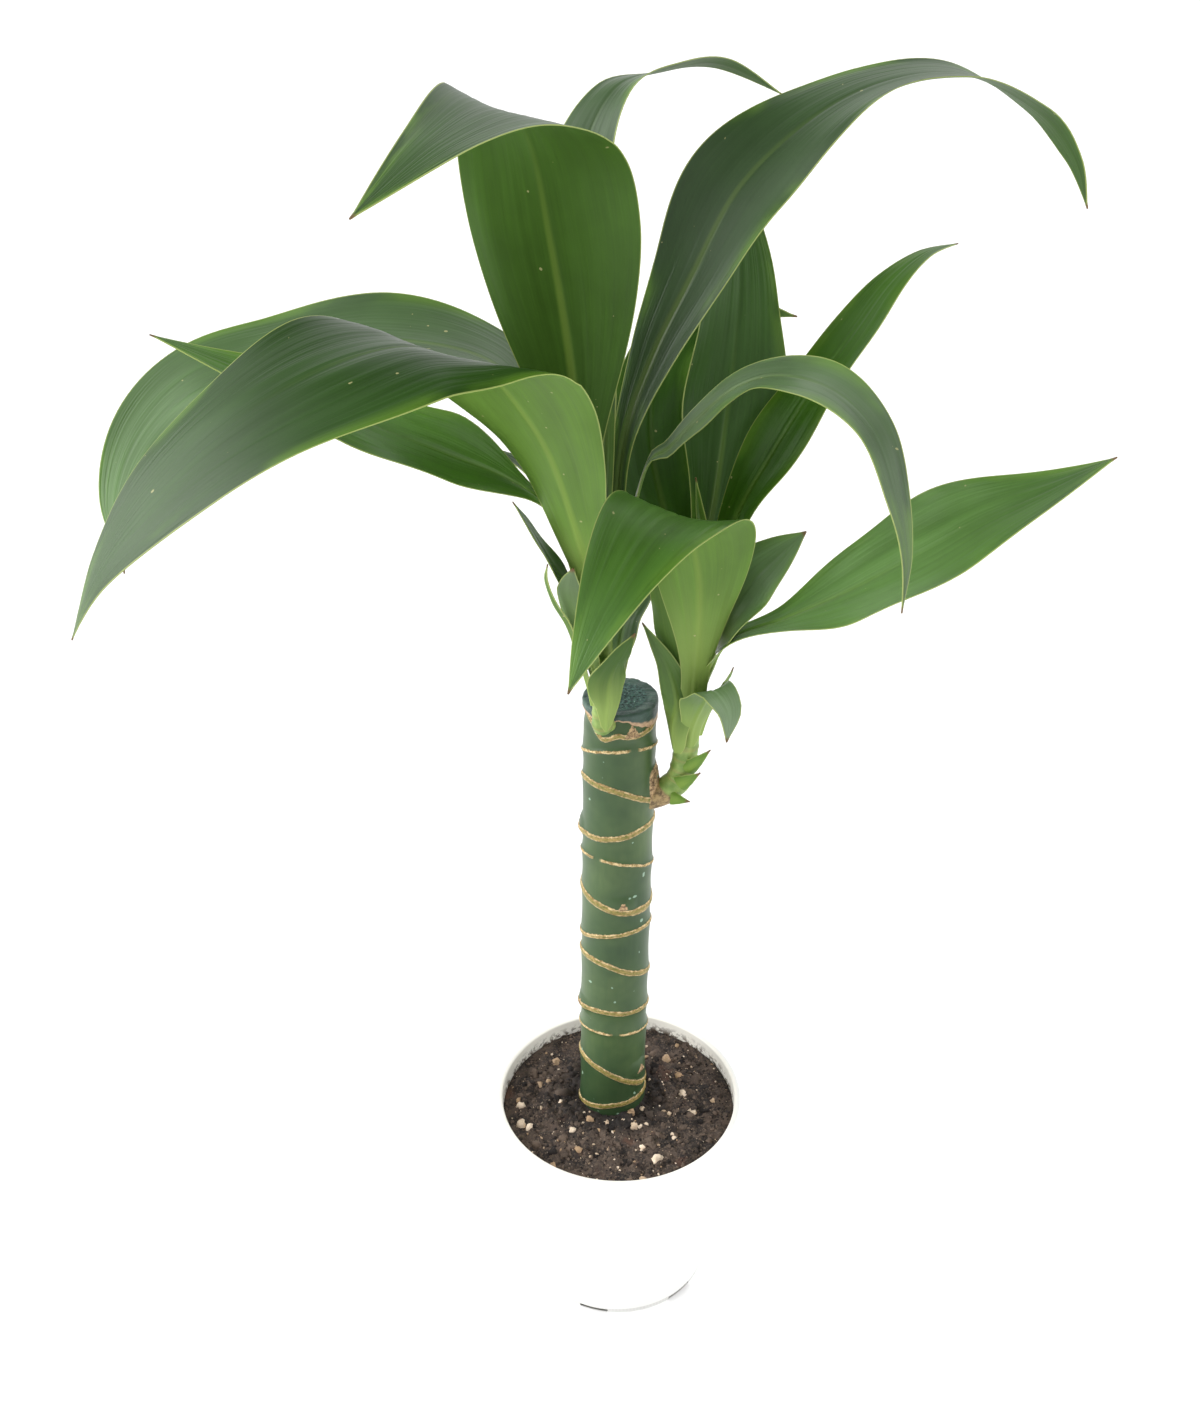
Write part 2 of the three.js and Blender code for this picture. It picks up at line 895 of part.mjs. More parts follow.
// Points evenly spaced along the midrib, each with its frame, width and bend.
function leafStations(leaf) {
  const rows = midribRows(leaf);
  const { samples } = blade;
  const track = Array.from({ length: samples + 1 }, (_, i) =>
    onCurve(rows, (i / samples) * (rows.length - 1)),
  );
  const lengths = [0];
  track.slice(1).forEach((row, i) => {
    lengths.push(lengths[i] + Math.hypot(...[0, 1, 2].map((k) => row[k] - track[i][k])));
  });
  const total = lengths[samples];
  const heading = radians(leaf.heads);
  const level = new THREE.Vector3(-Math.sin(heading), Math.cos(heading), 0);
  const { neck, widest, taper, cupping, clasp } = { ...blade, ...leaf };
  const along = Math.round(total / blade.stationSpacing);
  const steps = Math.min(Math.max(along, blade.leastStations), blade.mostStations);
  return Array.from({ length: steps + 1 }, (_, step) => {
    const u = step / steps;
    let i = 1;
    while (i < samples && lengths[i] < u * total) i++;
    const t = (u * total - lengths[i - 1]) / (lengths[i] - lengths[i - 1]);
    const [x, y, z, roll] = track[i].map((value, k) => lerp(track[i - 1][k], value, t));
    const tangent = new THREE.Vector3(...track[i]).sub(new THREE.Vector3(...track[i - 1])).normalize();
    const side = level.clone().addScaledVector(tangent, -level.dot(tangent)).normalize();
    side.applyAxisAngle(tangent, radians(roll));
    const upper = tangent.clone().cross(side);
    const axis = shootAt(leaf.shoot, z);
    const reach = Math.hypot(x - axis.x, y - axis.y);
    const atBase = shootAt(leaf.shoot, leaf.height).radius * clasp;
    const swell = lerp(atBase, leaf.halfWidth, smoothstep(u, neck, widest));
    const narrowing = Math.max(0, (u - widest) / (1 - widest));
    const halfWidth = Math.max(swell * (1 - narrowing ** taper), blade.tipWidth);
    const opening = blade.opening * Math.max(0, u * total - blade.claspHeight);
    const curl = halfWidth / (reach + opening) + cupping * Math.min(1, halfWidth / leaf.halfWidth);
    const bend = Math.abs(curl) < blade.leastBend ? blade.leastBend : curl;
    return { middle: new THREE.Vector3(x, y, z), side, upper, halfWidth, bend, u };
  });
}

// One blade as a closed solid: two faces split alike, joined by a wall round the edge.
function leafGeometry(leaf) {
  const stations = leafStations(leaf);
  const along = stations.length - 1;
  const { across } = blade;
  const positions = [];
  for (const face of [1, -1]) {
    for (const { middle, side, upper, halfWidth, bend, u } of stations) {
      for (let j = 0; j <= across; j++) {
        const t = (2 * j) / across - 1;
        const thickness = lerp(blade.midribThickness, blade.marginThickness, Math.abs(t));
        const angle = bend * t;
        const pace = u * blade.ripplePace + 2 * t + leaf.height;
        const wave = blade.ripple * halfWidth * t * t * Math.sin(pace);
        const outward = (halfWidth * Math.sin(angle)) / bend;
        const lift = (halfWidth * (1 - Math.cos(angle))) / bend + wave * Math.sin(Math.PI * u);
        const normal = upper.clone().multiplyScalar(Math.cos(angle));
        normal.addScaledVector(side, -Math.sin(angle));
        const point = middle.clone().addScaledVector(side, outward).addScaledVector(upper, lift);
        point.addScaledVector(normal, (face * thickness) / 2);
        positions.push(...point.toArray());
      }
    }
  }
  const at = (i, j) => i * (across + 1) + j;
  const lower = at(along + 1, 0);
  const index = [];
  for (let i = 0; i < along; i++) {
    for (let j = 0; j < across; j++) {
      const [a, b, c, d] = [at(i, j), at(i, j + 1), at(i + 1, j + 1), at(i + 1, j)];
      const split = j < across / 2 ? [a, d, c, a, c, b] : [a, d, b, d, c, b];
      index.push(...split, ...split.map((corner) => lower + corner).reverse());
    }
  }
  const rim = [];
  for (let j = 0; j < across; j++) rim.push(at(0, j));
  for (let i = 0; i < along; i++) rim.push(at(i, across));
  for (let j = across; j > 0; j--) rim.push(at(along, j));
  for (let i = along; i > 0; i--) rim.push(at(i, 0));
  rim.forEach((from, k) => {
    const to = rim[(k + 1) % rim.length];
    index.push(from, to, lower + to, from, lower + to, lower + from);
  });
  const geometry = new THREE.BufferGeometry();
  geometry.setAttribute("position", new THREE.Float32BufferAttribute(positions, 3));
  geometry.setIndex(index);
  return geometry;
}

// ---- The whole plant ----

function piece(name, geometry, colour, roughness) {
  const material = new THREE.MeshStandardMaterial({ color: colour, roughness, metalness: 0 });
  const mesh = new THREE.Mesh(geometry, material);
  mesh.name = name;
  return mesh;
}

const plant = new THREE.Group();
plant.add(piece("pot", potGeometry(), 0xf4f4f1, 0.45));
plant.add(piece("soil", soilGeometry(), 0x35261c, 0.95));
plant.add(piece("cane", caneGeometry(0), 0x48553a, 0.6));
plant.add(piece("wax_seal", waxGeometry(), 0x3f5a50, 0.55));
plant.add(piece("left_stem", shootGeometry(leftShoot, []), 0x8ba75a, 0.5));
plant.add(piece("right_stem", shootGeometry(rightShoot, stemScales), 0x8ba75a, 0.5));
for (const leaf of leafShapes) {
  plant.add(piece(leaf.name, leafGeometry(leaf), 0x3f6b2a, 0.45));
}

export default plant;
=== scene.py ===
from functools import reduce
from math import acos, cos, degrees, hypot, pi, radians, sin, sqrt
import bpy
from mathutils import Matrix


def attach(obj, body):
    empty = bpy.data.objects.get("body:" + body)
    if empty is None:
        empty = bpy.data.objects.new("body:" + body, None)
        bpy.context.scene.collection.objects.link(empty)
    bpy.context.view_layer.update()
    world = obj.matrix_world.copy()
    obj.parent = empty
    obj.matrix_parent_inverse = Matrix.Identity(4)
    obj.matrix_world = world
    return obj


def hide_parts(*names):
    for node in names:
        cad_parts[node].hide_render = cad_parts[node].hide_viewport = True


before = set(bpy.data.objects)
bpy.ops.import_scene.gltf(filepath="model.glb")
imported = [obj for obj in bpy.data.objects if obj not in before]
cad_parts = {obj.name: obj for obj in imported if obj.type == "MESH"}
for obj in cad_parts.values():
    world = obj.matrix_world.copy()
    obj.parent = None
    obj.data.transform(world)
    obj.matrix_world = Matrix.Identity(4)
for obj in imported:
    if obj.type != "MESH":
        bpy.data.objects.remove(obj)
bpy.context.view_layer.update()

from types import SimpleNamespace

import bpy
import numpy as np
from mathutils import Vector, noise

# A potted corn plant: a cut cane with two leafy shoots in a white pot.
# Shapes are given in millimetres and made in metres. +Z is up and the plant's front faces -Y.

mm = 0.001
print("frame:", len(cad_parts), "nodes")

# helpers for node trees, which all add to the tree that was opened last

opened = {}


def feed(socket, value):
    if isinstance(value, bpy.types.NodeSocket):
        opened["tree"].links.new(value, socket)
    else:
        socket.default_value = value


def add(kind, wires=None, **settings):
    node = opened["tree"].nodes.new(kind)
    for name, value in settings.items():
        setattr(node, name, value)
    for key, value in (wires or {}).items():
        feed(node.inputs[key], value)
    return node


def calc(operation, *values):
    return add("ShaderNodeMath", dict(enumerate(values)), operation=operation).outputs[0]


def plus(*values):
    return reduce(lambda first, second: calc("ADD", first, second), values)


def times(*values):
    return reduce(lambda first, second: calc("MULTIPLY", first, second), values)


def minus(first, second):
    return calc("SUBTRACT", first, second)


def vec(operation, *values):
    output = "Value" if operation in ("LENGTH", "DOT_PRODUCT") else "Vector"
    return add("ShaderNodeVectorMath", dict(enumerate(values)), operation=operation).outputs[output]


def scaled(vector, factor):
    return add("ShaderNodeVectorMath", {0: vector, "Scale": factor}, operation="SCALE").outputs["Vector"]


def combine(x=0.0, y=0.0, z=0.0):
    return add("ShaderNodeCombineXYZ", {0: x, 1: y, 2: z}).outputs[0]


def separate(vector):
    return add("ShaderNodeSeparateXYZ", {0: vector}).outputs


def ramp(value, low, high, toLow=0.0, toHigh=1.0, smooth=True):
    kind = "SMOOTHSTEP" if smooth else "LINEAR"
    wires = dict(enumerate((value, low, high, toLow, toHigh)))
    return add("ShaderNodeMapRange", wires, interpolation_type=kind).outputs[0]


def colour(red, green, blue):
    # screen values from 0 to 255 as a linear colour
    return (*(((v / 255 + 0.055) / 1.055) ** 2.4 if v > 10 else v / 3294 for v in (red, green, blue)), 1)


def blend(factor, first, second):
    # each colour is a socket or a tuple of screen values
    first, second = (colour(*value) if isinstance(value, tuple) else value for value in (first, second))
    return add("ShaderNodeMix", {0: factor, 6: first, 7: second}, data_type="RGBA").outputs[2]


def read(*names):
    return [add("ShaderNodeAttribute", attribute_name=name).outputs["Fac"] for name in names]


def noiseAt(place, scale, detail=3.0, roughness=0.55):
    wires = {"Vector": place, "Scale": scale, "Detail": detail, "Roughness": roughness}
    return add("ShaderNodeTexNoise", wires).outputs[0]


def patches(place, scale, low, high, detail=3.0, roughness=0.55):
    # noise as soft patches of 0 and 1
    return ramp(noiseAt(place, scale, detail, roughness), low, high)


def newMaterial(name):
    # opens a material, and gives its shader and the place on the object as well
    material = bpy.data.materials.new(name)
    material.use_nodes = True
    opened["tree"] = material.node_tree
    return material, material.node_tree.nodes["Principled BSDF"], add("ShaderNodeTexCoord").outputs["Object"]


def setSurface(shader, paint, roughness, specular=0.5):
    for key, value in (("Base Color", paint), ("Roughness", roughness), ("Specular IOR Level", specular)):
        feed(shader.inputs[key], value)


def addBump(shader, height, strength, distance, under=None):
    bump = add("ShaderNodeBump", {"Height": height, "Strength": strength, "Distance": distance * mm})
    if under:
        feed(bump.inputs["Normal"], under)
    feed(shader.inputs["Normal"], bump.outputs[0])
    return bump.outputs[0]


# helpers for Geometry Nodes

socketKinds = {float: "NodeSocketFloat", int: "NodeSocketInt"}


def newTree(name, inputs):
    # opens a node group with these inputs and values, and gives their sockets by name
    tree = opened["tree"] = bpy.data.node_groups.new(name, "GeometryNodeTree")
    tree.interface.new_socket("geometry", in_out="INPUT", socket_type="NodeSocketGeometry")
    for key, value in inputs.items():
        socket = tree.interface.new_socket(key, in_out="INPUT", socket_type=socketKinds[type(value)])
        socket.default_value = value
    tree.interface.new_socket("geometry", in_out="OUTPUT", socket_type="NodeSocketGeometry")
    outputs = add("NodeGroupInput").outputs
    return SimpleNamespace(**{key: outputs[key] for key in ("geometry", *inputs)})


def geometry(kind, wires=None, **settings):
    return add("GeometryNode" + kind, wires, **settings).outputs[0]


def named(name, kind="FLOAT"):
    return geometry("InputNamedAttribute", {"Name": name}, data_type=kind)


def store(mesh, name, value, kind="FLOAT", domain="POINT"):
    wires = {"Geometry": mesh, "Name": name, "Value": value}
    return geometry("StoreNamedAttribute", wires, data_type=kind, domain=domain)


def endTree(mesh, material):
    realized = geometry("RealizeInstances", {"Geometry": mesh})
    add("NodeGroupOutput", {0: geometry("SetMaterial", {"Geometry": realized, "Material": material})})
    return opened["tree"]


def grow(piece, tree, values):
    # runs a tree on a piece and keeps the result as a plain mesh
    modifier = piece.modifiers.new(tree.name, "NODES")
    modifier.node_group = tree
    for item in tree.interface.items_tree:
        if item.in_out == "INPUT" and item.name in values:
            modifier[item.identifier] = values[item.name]
    depsgraph = bpy.context.evaluated_depsgraph_get()
    mesh = bpy.data.meshes.new_from_object(
        piece.evaluated_get(depsgraph), preserve_all_data_layers=True, depsgraph=depsgraph)
    piece.modifiers.clear()
    piece.data = mesh


# helpers for meshes


def metres(values, *keys):
    # some of a dictionary's lengths, in metres
    return {key: values[key] * mm for key in keys}


def newPiece(name, vertices, edges=(), faces=(), attributes=None):
    mesh = bpy.data.meshes.new(name)
    mesh.from_pydata([tuple(v) for v in vertices], list(edges), list(faces))
    for key, values in (attributes or {}).items():
        values = np.asarray(values, np.float32)
        kind, field = ("FLOAT_VECTOR", "vector") if values.ndim == 2 else ("FLOAT", "value")
        mesh.attributes.new(key, kind, "POINT").data.foreach_set(field, values.ravel())
    piece = bpy.data.objects.new(name, mesh)
    bpy.context.scene.collection.objects.link(piece)
    return piece


def pathPiece(name, points, attributes):
    return newPiece(name, points, [(i, i + 1) for i in range(len(points) - 1)], attributes=attributes)


def roundPiece(name, rings, sides, place, attributes=()):
    # a closed piece of rings round Z, from a rule for row and angle; its two end rows are points
    angles = [2 * pi * k / sides for k in range(sides)]
    vertices, values = [], {key: [] for key in attributes}
    for row in range(rings):
        for angle in (angles[:1] if row in (0, rings - 1) else angles):
            point, *extra = place(row, angle)
            vertices.append(point)
            for key, value in zip(attributes, extra):
                values[key].append(value)
    faces = []
    for row in range(rings - 1):
        low = 1 + (row - 1) * sides
        for k in range(sides):
            j = (k + 1) % sides
            if row == 0:
                faces.append((0, 1 + j, 1 + k))
            elif row == rings - 2:
                faces.append((low + k, low + j, low + sides))
            else:
                faces.append((low + k, low + j, low + sides + j, low + sides + k))
    return newPiece(name, vertices, faces=faces, attributes=values)


def polar(radius, angle):
    return radius * cos(angle), radius * sin(angle)


def dress(piece, replaced=None, angle=None, material=None):
    if material:
        piece.data.materials.append(material)
    for face in piece.data.polygons:
        face.use_smooth = True
    if angle:
        piece.data.set_sharp_from_angle(angle=radians(angle))
    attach(piece, "root")
    if replaced:
        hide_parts(replaced)


def smoothstep(value, low, high):
    t = min(max((value - low) / (high - low), 0), 1)
    return t * t * (3 - 2 * t)


def lerp(first, second, t):
    return first + (second - first) * t


# camera and light

view = dict(place=(-11.4, -767.6, 885.0), pitch=31.74, focal=1700, longSide=1425, sensor=36, farthest=50)
# a white studio: a lit table and soft panels, each with its direction and its strength
studio = dict(even=0.12, floor=(250, 250, 250), floorRoughness=0.7, floorGlow=0.08, floorReach=20,
              aim=(0, 0, 0.4), panelEdge=0.66, panels={
                  "left": ((-0.94, 0, 0.34), 4.4), "right": ((0.94, 0, 0.34), 2.0),
                  "back": ((0, 0.94, 0.34), 0.92), "high right": ((0.77, 0, 0.64), 0.7),
                  "high front": ((0, -0.77, 0.64), 0.92)})
lamps = {
    "left window": dict(place=(-1.9, -0.5, 1.2), size=0.8, power=6),
    "back window": dict(place=(0.7, 1.6, 1.7), size=1.0, power=1.5),
}


def makeCamera():
    data = bpy.data.cameras.new("camera")
    data.sensor_width = view["sensor"]
    data.lens = view["focal"] / view["longSide"] * data.sensor_width
    data.clip_end = view["farthest"]
    camera = bpy.data.objects.new("camera", data)
    camera.location = Vector(view["place"]) * mm
    camera.rotation_euler = (radians(90 - view["pitch"]), 0, 0)
    bpy.context.scene.collection.objects.link(camera)
    bpy.context.scene.camera = camera


def makeLight():
    scene = bpy.context.scene
    scene.view_settings.view_transform = "Standard"
    scene.world = bpy.data.worlds.new("studio")
    scene.world.use_nodes = True
    opened["tree"] = scene.world.node_tree
    direction = add("ShaderNodeTexCoord").outputs["Generated"]
    strength = studio["even"]
    for towards, peak in studio["panels"].values():
        panel = ramp(vec("DOT_PRODUCT", direction, towards), studio["panelEdge"], 1.0, 0.0, peak)
        strength = plus(strength, panel)
    background = scene.world.node_tree.nodes["Background"]
    feed(background.inputs["Strength"], strength)
    feed(background.inputs["Color"], (1, 1, 1, 1))
    for name, lamp in lamps.items():
        data = bpy.data.lights.new(name, "AREA")
        data.shape = "DISK"
        data.size = lamp["size"]
        data.energy = lamp["power"]
        item = bpy.data.objects.new(name, data)
        item.location = lamp["place"]
        item.rotation_euler = (Vector(studio["aim"]) - item.location).to_track_quat("-Z", "Y").to_euler()
        scene.collection.objects.link(item)


def makeFloor():
    reach = studio["floorReach"]
    corners = [(-reach, -reach, 0), (reach, -reach, 0), (reach, reach, 0), (-reach, reach, 0)]
    floor = newPiece("floor", corners, faces=[(0, 1, 2, 3)])
    material, shader, _ = newMaterial("floorPaint")
    setSurface(shader, colour(*studio["floor"]), studio["floorRoughness"])
    feed(shader.inputs["Emission Color"], (1, 1, 1, 1))
    feed(shader.inputs["Emission Strength"], studio["floorGlow"])
    floor.data.materials.append(material)


makeCamera()
makeLight()
makeFloor()
print("camera, light and floor")

# pot

pot = dict(height=135, rimRadius=75, rimDepth=9, rimStep=1.8, rimUnder=(0.2, 0.1), baseRadius=56, wall=2,
           floor=5, edge=1.2, cove=3, sides=160, roundSteps=4, sharpAngle=40, dirty=(132.5, 124))
# the slots sit on a thin sill and are painted dark inside, as painted shade, to look dark on the white floor;
# each has a hole up through the pot's floor
drain = dict(count=6, firstAngle=-106, width=18, reach=11, sill=0.4, height=3.2, holeInset=7.6,
             holeRadius=3.5, holeSides=28, holeDepth=15, darkFrom=(0.2, 0.4), darkTo=(4.5, 4.2),
             darkBehind=(0.1, 0.3))
# the inside is cream white and is painted lighter than the outside, as painted light against the shade within
# the pot
potPaints = dict(outside=((241, 241, 239), (235, 235, 232)), inside=((252, 250, 244), (244, 240, 228)),
                 dirt=(92, 78, 64), slot=(108, 106, 98))


def wallRadius(height):
    return lerp(pot["baseRadius"], pot["rimRadius"] - pot["rimStep"],
                height / (pot["height"] - pot["rimDepth"]))


def between(value, limits):
    # 0 at the first limit and 1 at the second, both in millimetres
    return ramp(value, *(limit * mm for limit in limits))


def potMaterial():
    material, shader, place = newMaterial("whitePlastic")
    inside, = read("inside")
    height = separate(place)[2]
    # painted light: the inside is painted lighter than the outside, over its cream tint
    paint = blend(inside, blend(patches(place, 9, 0.35, 0.7), *potPaints["outside"]),
                  blend(noiseAt(place, 40), *potPaints["inside"]))
    dirty = times(patches(place, 260, 0.46, 0.56, 5, 0.7), between(height, pot["dirty"]), inside)
    paint = blend(dirty, paint, potPaints["dirt"])
    # painted shade: the slots are painted dark inside
    fromAxis = vec("LENGTH", vec("MULTIPLY", place, (1.0, 1.0, 0.0)))
    wall = calc("MULTIPLY_ADD", height, wallRadius(1) - wallRadius(0), pot["baseRadius"] * mm)
    chamfer = plus(height, (pot["baseRadius"] - pot["edge"]) * mm)
    behind = between(minus(calc("MINIMUM", wall, chamfer), fromAxis), drain["darkBehind"])
    slotShadeMask = times(between(height, drain["darkFrom"]), between(height, drain["darkTo"]), behind)
    paint = blend(slotShadeMask, paint, potPaints["slot"])
    setSurface(shader, paint, ramp(noiseAt(place, 30, 4), 0.3, 0.7, 0.34, 0.48))
    addBump(shader, noiseAt(place, 700, 2), 0.12, 0.15)
    return material


def slotTree(inputs):
    # cuts a ring of slots into the pot's foot and a round hole above each
    given = newTree("drainSlots", inputs)
    size = combine(times(given.reach, 2.0), given.width, minus(given.height, given.sill))
    block = geometry("MeshCube", {"Size": size})
    raised = combine(z=times(plus(given.height, given.sill), 0.5))
    block = geometry("Transform", {"Geometry": block, "Translation": raised})
    drill = geometry("MeshCylinder", {
        "Vertices": given.holeSides, "Radius": given.holeRadius, "Depth": given.holeDepth})
    inward = combine(times(given.holeInset, -1.0))
    drill = geometry("Transform", {"Geometry": drill, "Translation": inward})
    step = calc("DIVIDE", 2 * pi, given.count)
    angle = plus(given.firstAngle, times(geometry("InputIndex"), step))
    outward = combine(calc("COSINE", angle), calc("SINE", angle))
    line = geometry("MeshLine", {"Count": given.count})
    points = geometry("SetPosition", {"Geometry": line, "Position": scaled(outward, given.footRadius)})
    body, turn = given.geometry, combine(z=angle)
    for cutter in (block, drill):
        ring = geometry("InstanceOnPoints", {"Points": points, "Instance": cutter, "Rotation": turn})
        wires = {"Mesh 1": body, "Mesh 2": ring}
        body = geometry("MeshBoolean", wires, operation="DIFFERENCE", solver="EXACT")
    return endTree(body, whitePlastic)


def makePot():
    shoulder = pot["height"] - pot["rimDepth"]
    top, edge, cove, floor = pot["height"], pot["edge"], pot["cove"], pot["floor"]
    inset, rise = pot["rimUnder"]

    def inner(height):
        return wallRadius(height) - pot["wall"]

    def rounded(before, corner, after):
        # a soft edge from one point of the profile to the next, bulging towards the corner
        shares = [k / pot["roundSteps"] for k in range(pot["roundSteps"] + 1)]
        return [tuple(lerp(lerp(a, b, t), lerp(b, c, t), t) for a, b, c in zip(before, corner, after))
                for t in shares]

    base, rim, lip = pot["baseRadius"], pot["rimRadius"], inner(shoulder)
    outside = [(0, 0), *rounded((base - edge, 0), (base, 0), (base, edge)), (wallRadius(shoulder), shoulder),
               *rounded((rim - inset, shoulder + rise), (rim, shoulder + rise), (rim, shoulder + edge)),
               *rounded((rim, top - edge), (rim, top), (rim - edge, top))]
    within = [*rounded((lip + edge, top), (lip, top), (lip, top - edge)), (lip, shoulder),
              (inner(floor + cove), floor + cove), (inner(floor) - cove, floor), (0, floor)]
    profile = [(*row, 0) for row in outside] + [(*row, 1) for row in within]

    def place(row, angle):
        radius, height, inside = profile[row]
        return Vector((*polar(radius, angle), height)) * mm, inside

    piece = roundPiece("pot_body", len(profile), pot["sides"], place, ["inside"])
    inputs = {"count": drain["count"], "holeSides": drain["holeSides"], "footRadius": base * mm,
              "firstAngle": radians(drain["firstAngle"]),
              **metres(drain, "width", "reach", "sill", "height", "holeRadius", "holeInset", "holeDepth")}
    grow(piece, slotTree(inputs), inputs)
    dress(piece, "pot", pot["sharpAngle"])


whitePlastic = potMaterial()
makePot()
print("pot")

# soil

soil = dict(level=125.5, heap=1.5, heapReach=34, roughness=2.4, rings=64, sides=190, seed=3, fineSeed=9,
            coarse=11, fine=4, darkNear=14, gap=0.3, lap=2, edgeFade=3, clear=1.5)
grains = {
    "soil_clods": dict(kind="soil", density=36000.0, size=(1.1, 4.6), sink=0.55, seed=5, lumpiness=0.6),
    "soil_grit": dict(kind="soil", density=150000.0, size=(0.5, 1.2), sink=0.1, seed=8, lumpiness=0.5),
    "perlite_bits": dict(kind="perlite", density=6200.0, size=(0.8, 4.0), sink=0.15, seed=23, lumpiness=0.5),
    "perlite_dust": dict(kind="perlite", density=14000.0, size=(0.3, 0.9), sink=0.1, seed=33, lumpiness=0.4),
}
grainShape = dict(squashFrom=(0.65, 0.65, 0.5), squashTo=(1.25, 1.0, 0.9), lumpScale=620.0, lumpDepth=3.0,
                  rarity=3.0, steepest=0.3, rimGap=1.3)
# the darkest paint is painted shade beside the cane
soilPaints = dict(mix=((30, 24, 22), (84, 70, 61)), pale=(112, 97, 84), bark=(104, 70, 54), caneShade=(24, 20, 19),
                  soil=((28, 22, 20), (108, 92, 80)), perlite=((172, 142, 110), (240, 220, 196)))


def caneCentre(height):
    t = (height - cane["foot"]) / (cane["top"] - cane["foot"])
    return [lerp(a, b, t) for a, b in zip(cane["footCentre"], cane["topCentre"])]


def lumps(x, y, scale, seed):
    return noise.fractal(Vector((x / scale, y / scale, seed)), 0.7, 2.1, 4)


def shadeNearCane(paint, place, share):
    # painted shade: beside the cane the mix is painted dark
    across = vec("SUBTRACT", vec("MULTIPLY", place, (1.0, 1.0, 0.0)),
                 (*(c * mm for c in caneCentre(soil["level"])), 0.0))
    away = minus(vec("LENGTH", across), cane["radius"] * mm)
    patchy = times(noiseAt(place, 60, 2), soil["darkNear"] * mm)
    near = ramp(minus(away, patchy), soil["darkNear"] * mm, 0.0)
    return blend(times(near, share), paint, soilPaints["caneShade"])


def soilMaterial():
    material, shader, place = newMaterial("pottingMix")
    coarse = noiseAt(place, 90, 5, 0.65)
    fine = noiseAt(place, 650, 4, 0.7)
    paint = blend(ramp(coarse, 0.38, 0.62), *soilPaints["mix"])
    paint = blend(ramp(fine, 0.48, 0.72), paint, soilPaints["pale"])
    paint = blend(times(patches(place, 55, 0.6, 0.72, 2), 0.5), paint, soilPaints["bark"])
    setSurface(shader, shadeNearCane(paint, place, 0.75), ramp(fine, 0.2, 0.8, 0.7, 1.0))
    addBump(shader, fine, 0.6, 0.6, addBump(shader, coarse, 0.5, 1.5))
    return material


def grainMaterial(name, kind, strength, caneShade=0.0):
    material, shader, place = newMaterial(name)
    tint, = read("tint")
    fine = noiseAt(place, 800, 3, 0.7)
    paint = blend(ramp(plus(times(tint, 0.65), times(fine, 0.35)), 0.2, 0.75), *soilPaints[kind])
    # painted shade beside the cane, on the grains too
    if caneShade:
        paint = shadeNearCane(paint, place, caneShade)
    setSurface(shader, paint, 0.9)
    addBump(shader, fine, strength, 0.4)
    return material


def scatterTree(name, material, inputs):
    # rough grains scattered on the upward faces of a surface
    given = newTree(name, inputs)
    upward = separate(geometry("InputNormal"))[2]
    here = geometry("InputPosition")
    flat = vec("MULTIPLY", here, (1.0, 1.0, 0.0))
    spot = combine(given.clearX, given.clearY)
    off = calc("GREATER_THAN", vec("LENGTH", vec("SUBTRACT", flat, spot)), given.clear)
    near = calc("LESS_THAN", vec("LENGTH", flat), given.reach)
    points = geometry("DistributePointsOnFaces", {
        "Mesh": given.geometry, "Density": given.density, "Seed": given.seed,
        "Selection": times(calc("GREATER_THAN", upward, grainShape["steepest"]), times(off, near))})

    def draw(number, low, high):
        wires = {"Seed": number, 0: low, 1: high}
        return add("FunctionNodeRandomValue", wires, data_type="FLOAT_VECTOR").outputs[0]

    share, tint = (
        add("FunctionNodeRandomValue", {"Seed": plus(given.seed, shift)}, data_type="FLOAT").outputs[1]
        for shift in (1.0, 2.0))
    turn = draw(given.seed, (0.0,) * 3, (2 * pi,) * 3)
    squash = draw(plus(given.seed, 3.0), grainShape["squashFrom"], grainShape["squashTo"])
    # small grains are far more common than large ones
    size = ramp(calc("POWER", share, grainShape["rarity"]), 0.0, 1.0, given.smallest, given.largest, False)
    placed = geometry("InstanceOnPoints", {
        "Points": points, "Instance": geometry("MeshIcoSphere", {"Radius": 1.0, "Subdivisions": 2}),
        "Rotation": turn, "Scale": scaled(squash, size)})
    for key, value in (("tint", tint), ("grainSize", size)):
        placed = store(placed, key, value, domain="INSTANCE")
    size = named("grainSize")
    lump = add("ShaderNodeTexNoise", {
        "Vector": scaled(here, grainShape["lumpScale"]), "Scale": 1.0, "Detail": 1.0}).outputs[1]
    depth = times(size, given.lumpiness, grainShape["lumpDepth"])
    push = scaled(vec("SUBTRACT", lump, (0.5, 0.5, 0.5)), depth)
    down = combine(z=times(size, given.sink, -1.0))
    moved = geometry("SetPosition", {
        "Geometry": geometry("RealizeInstances", {"Geometry": placed}), "Offset": vec("ADD", push, down)})
    return endTree(moved, material)


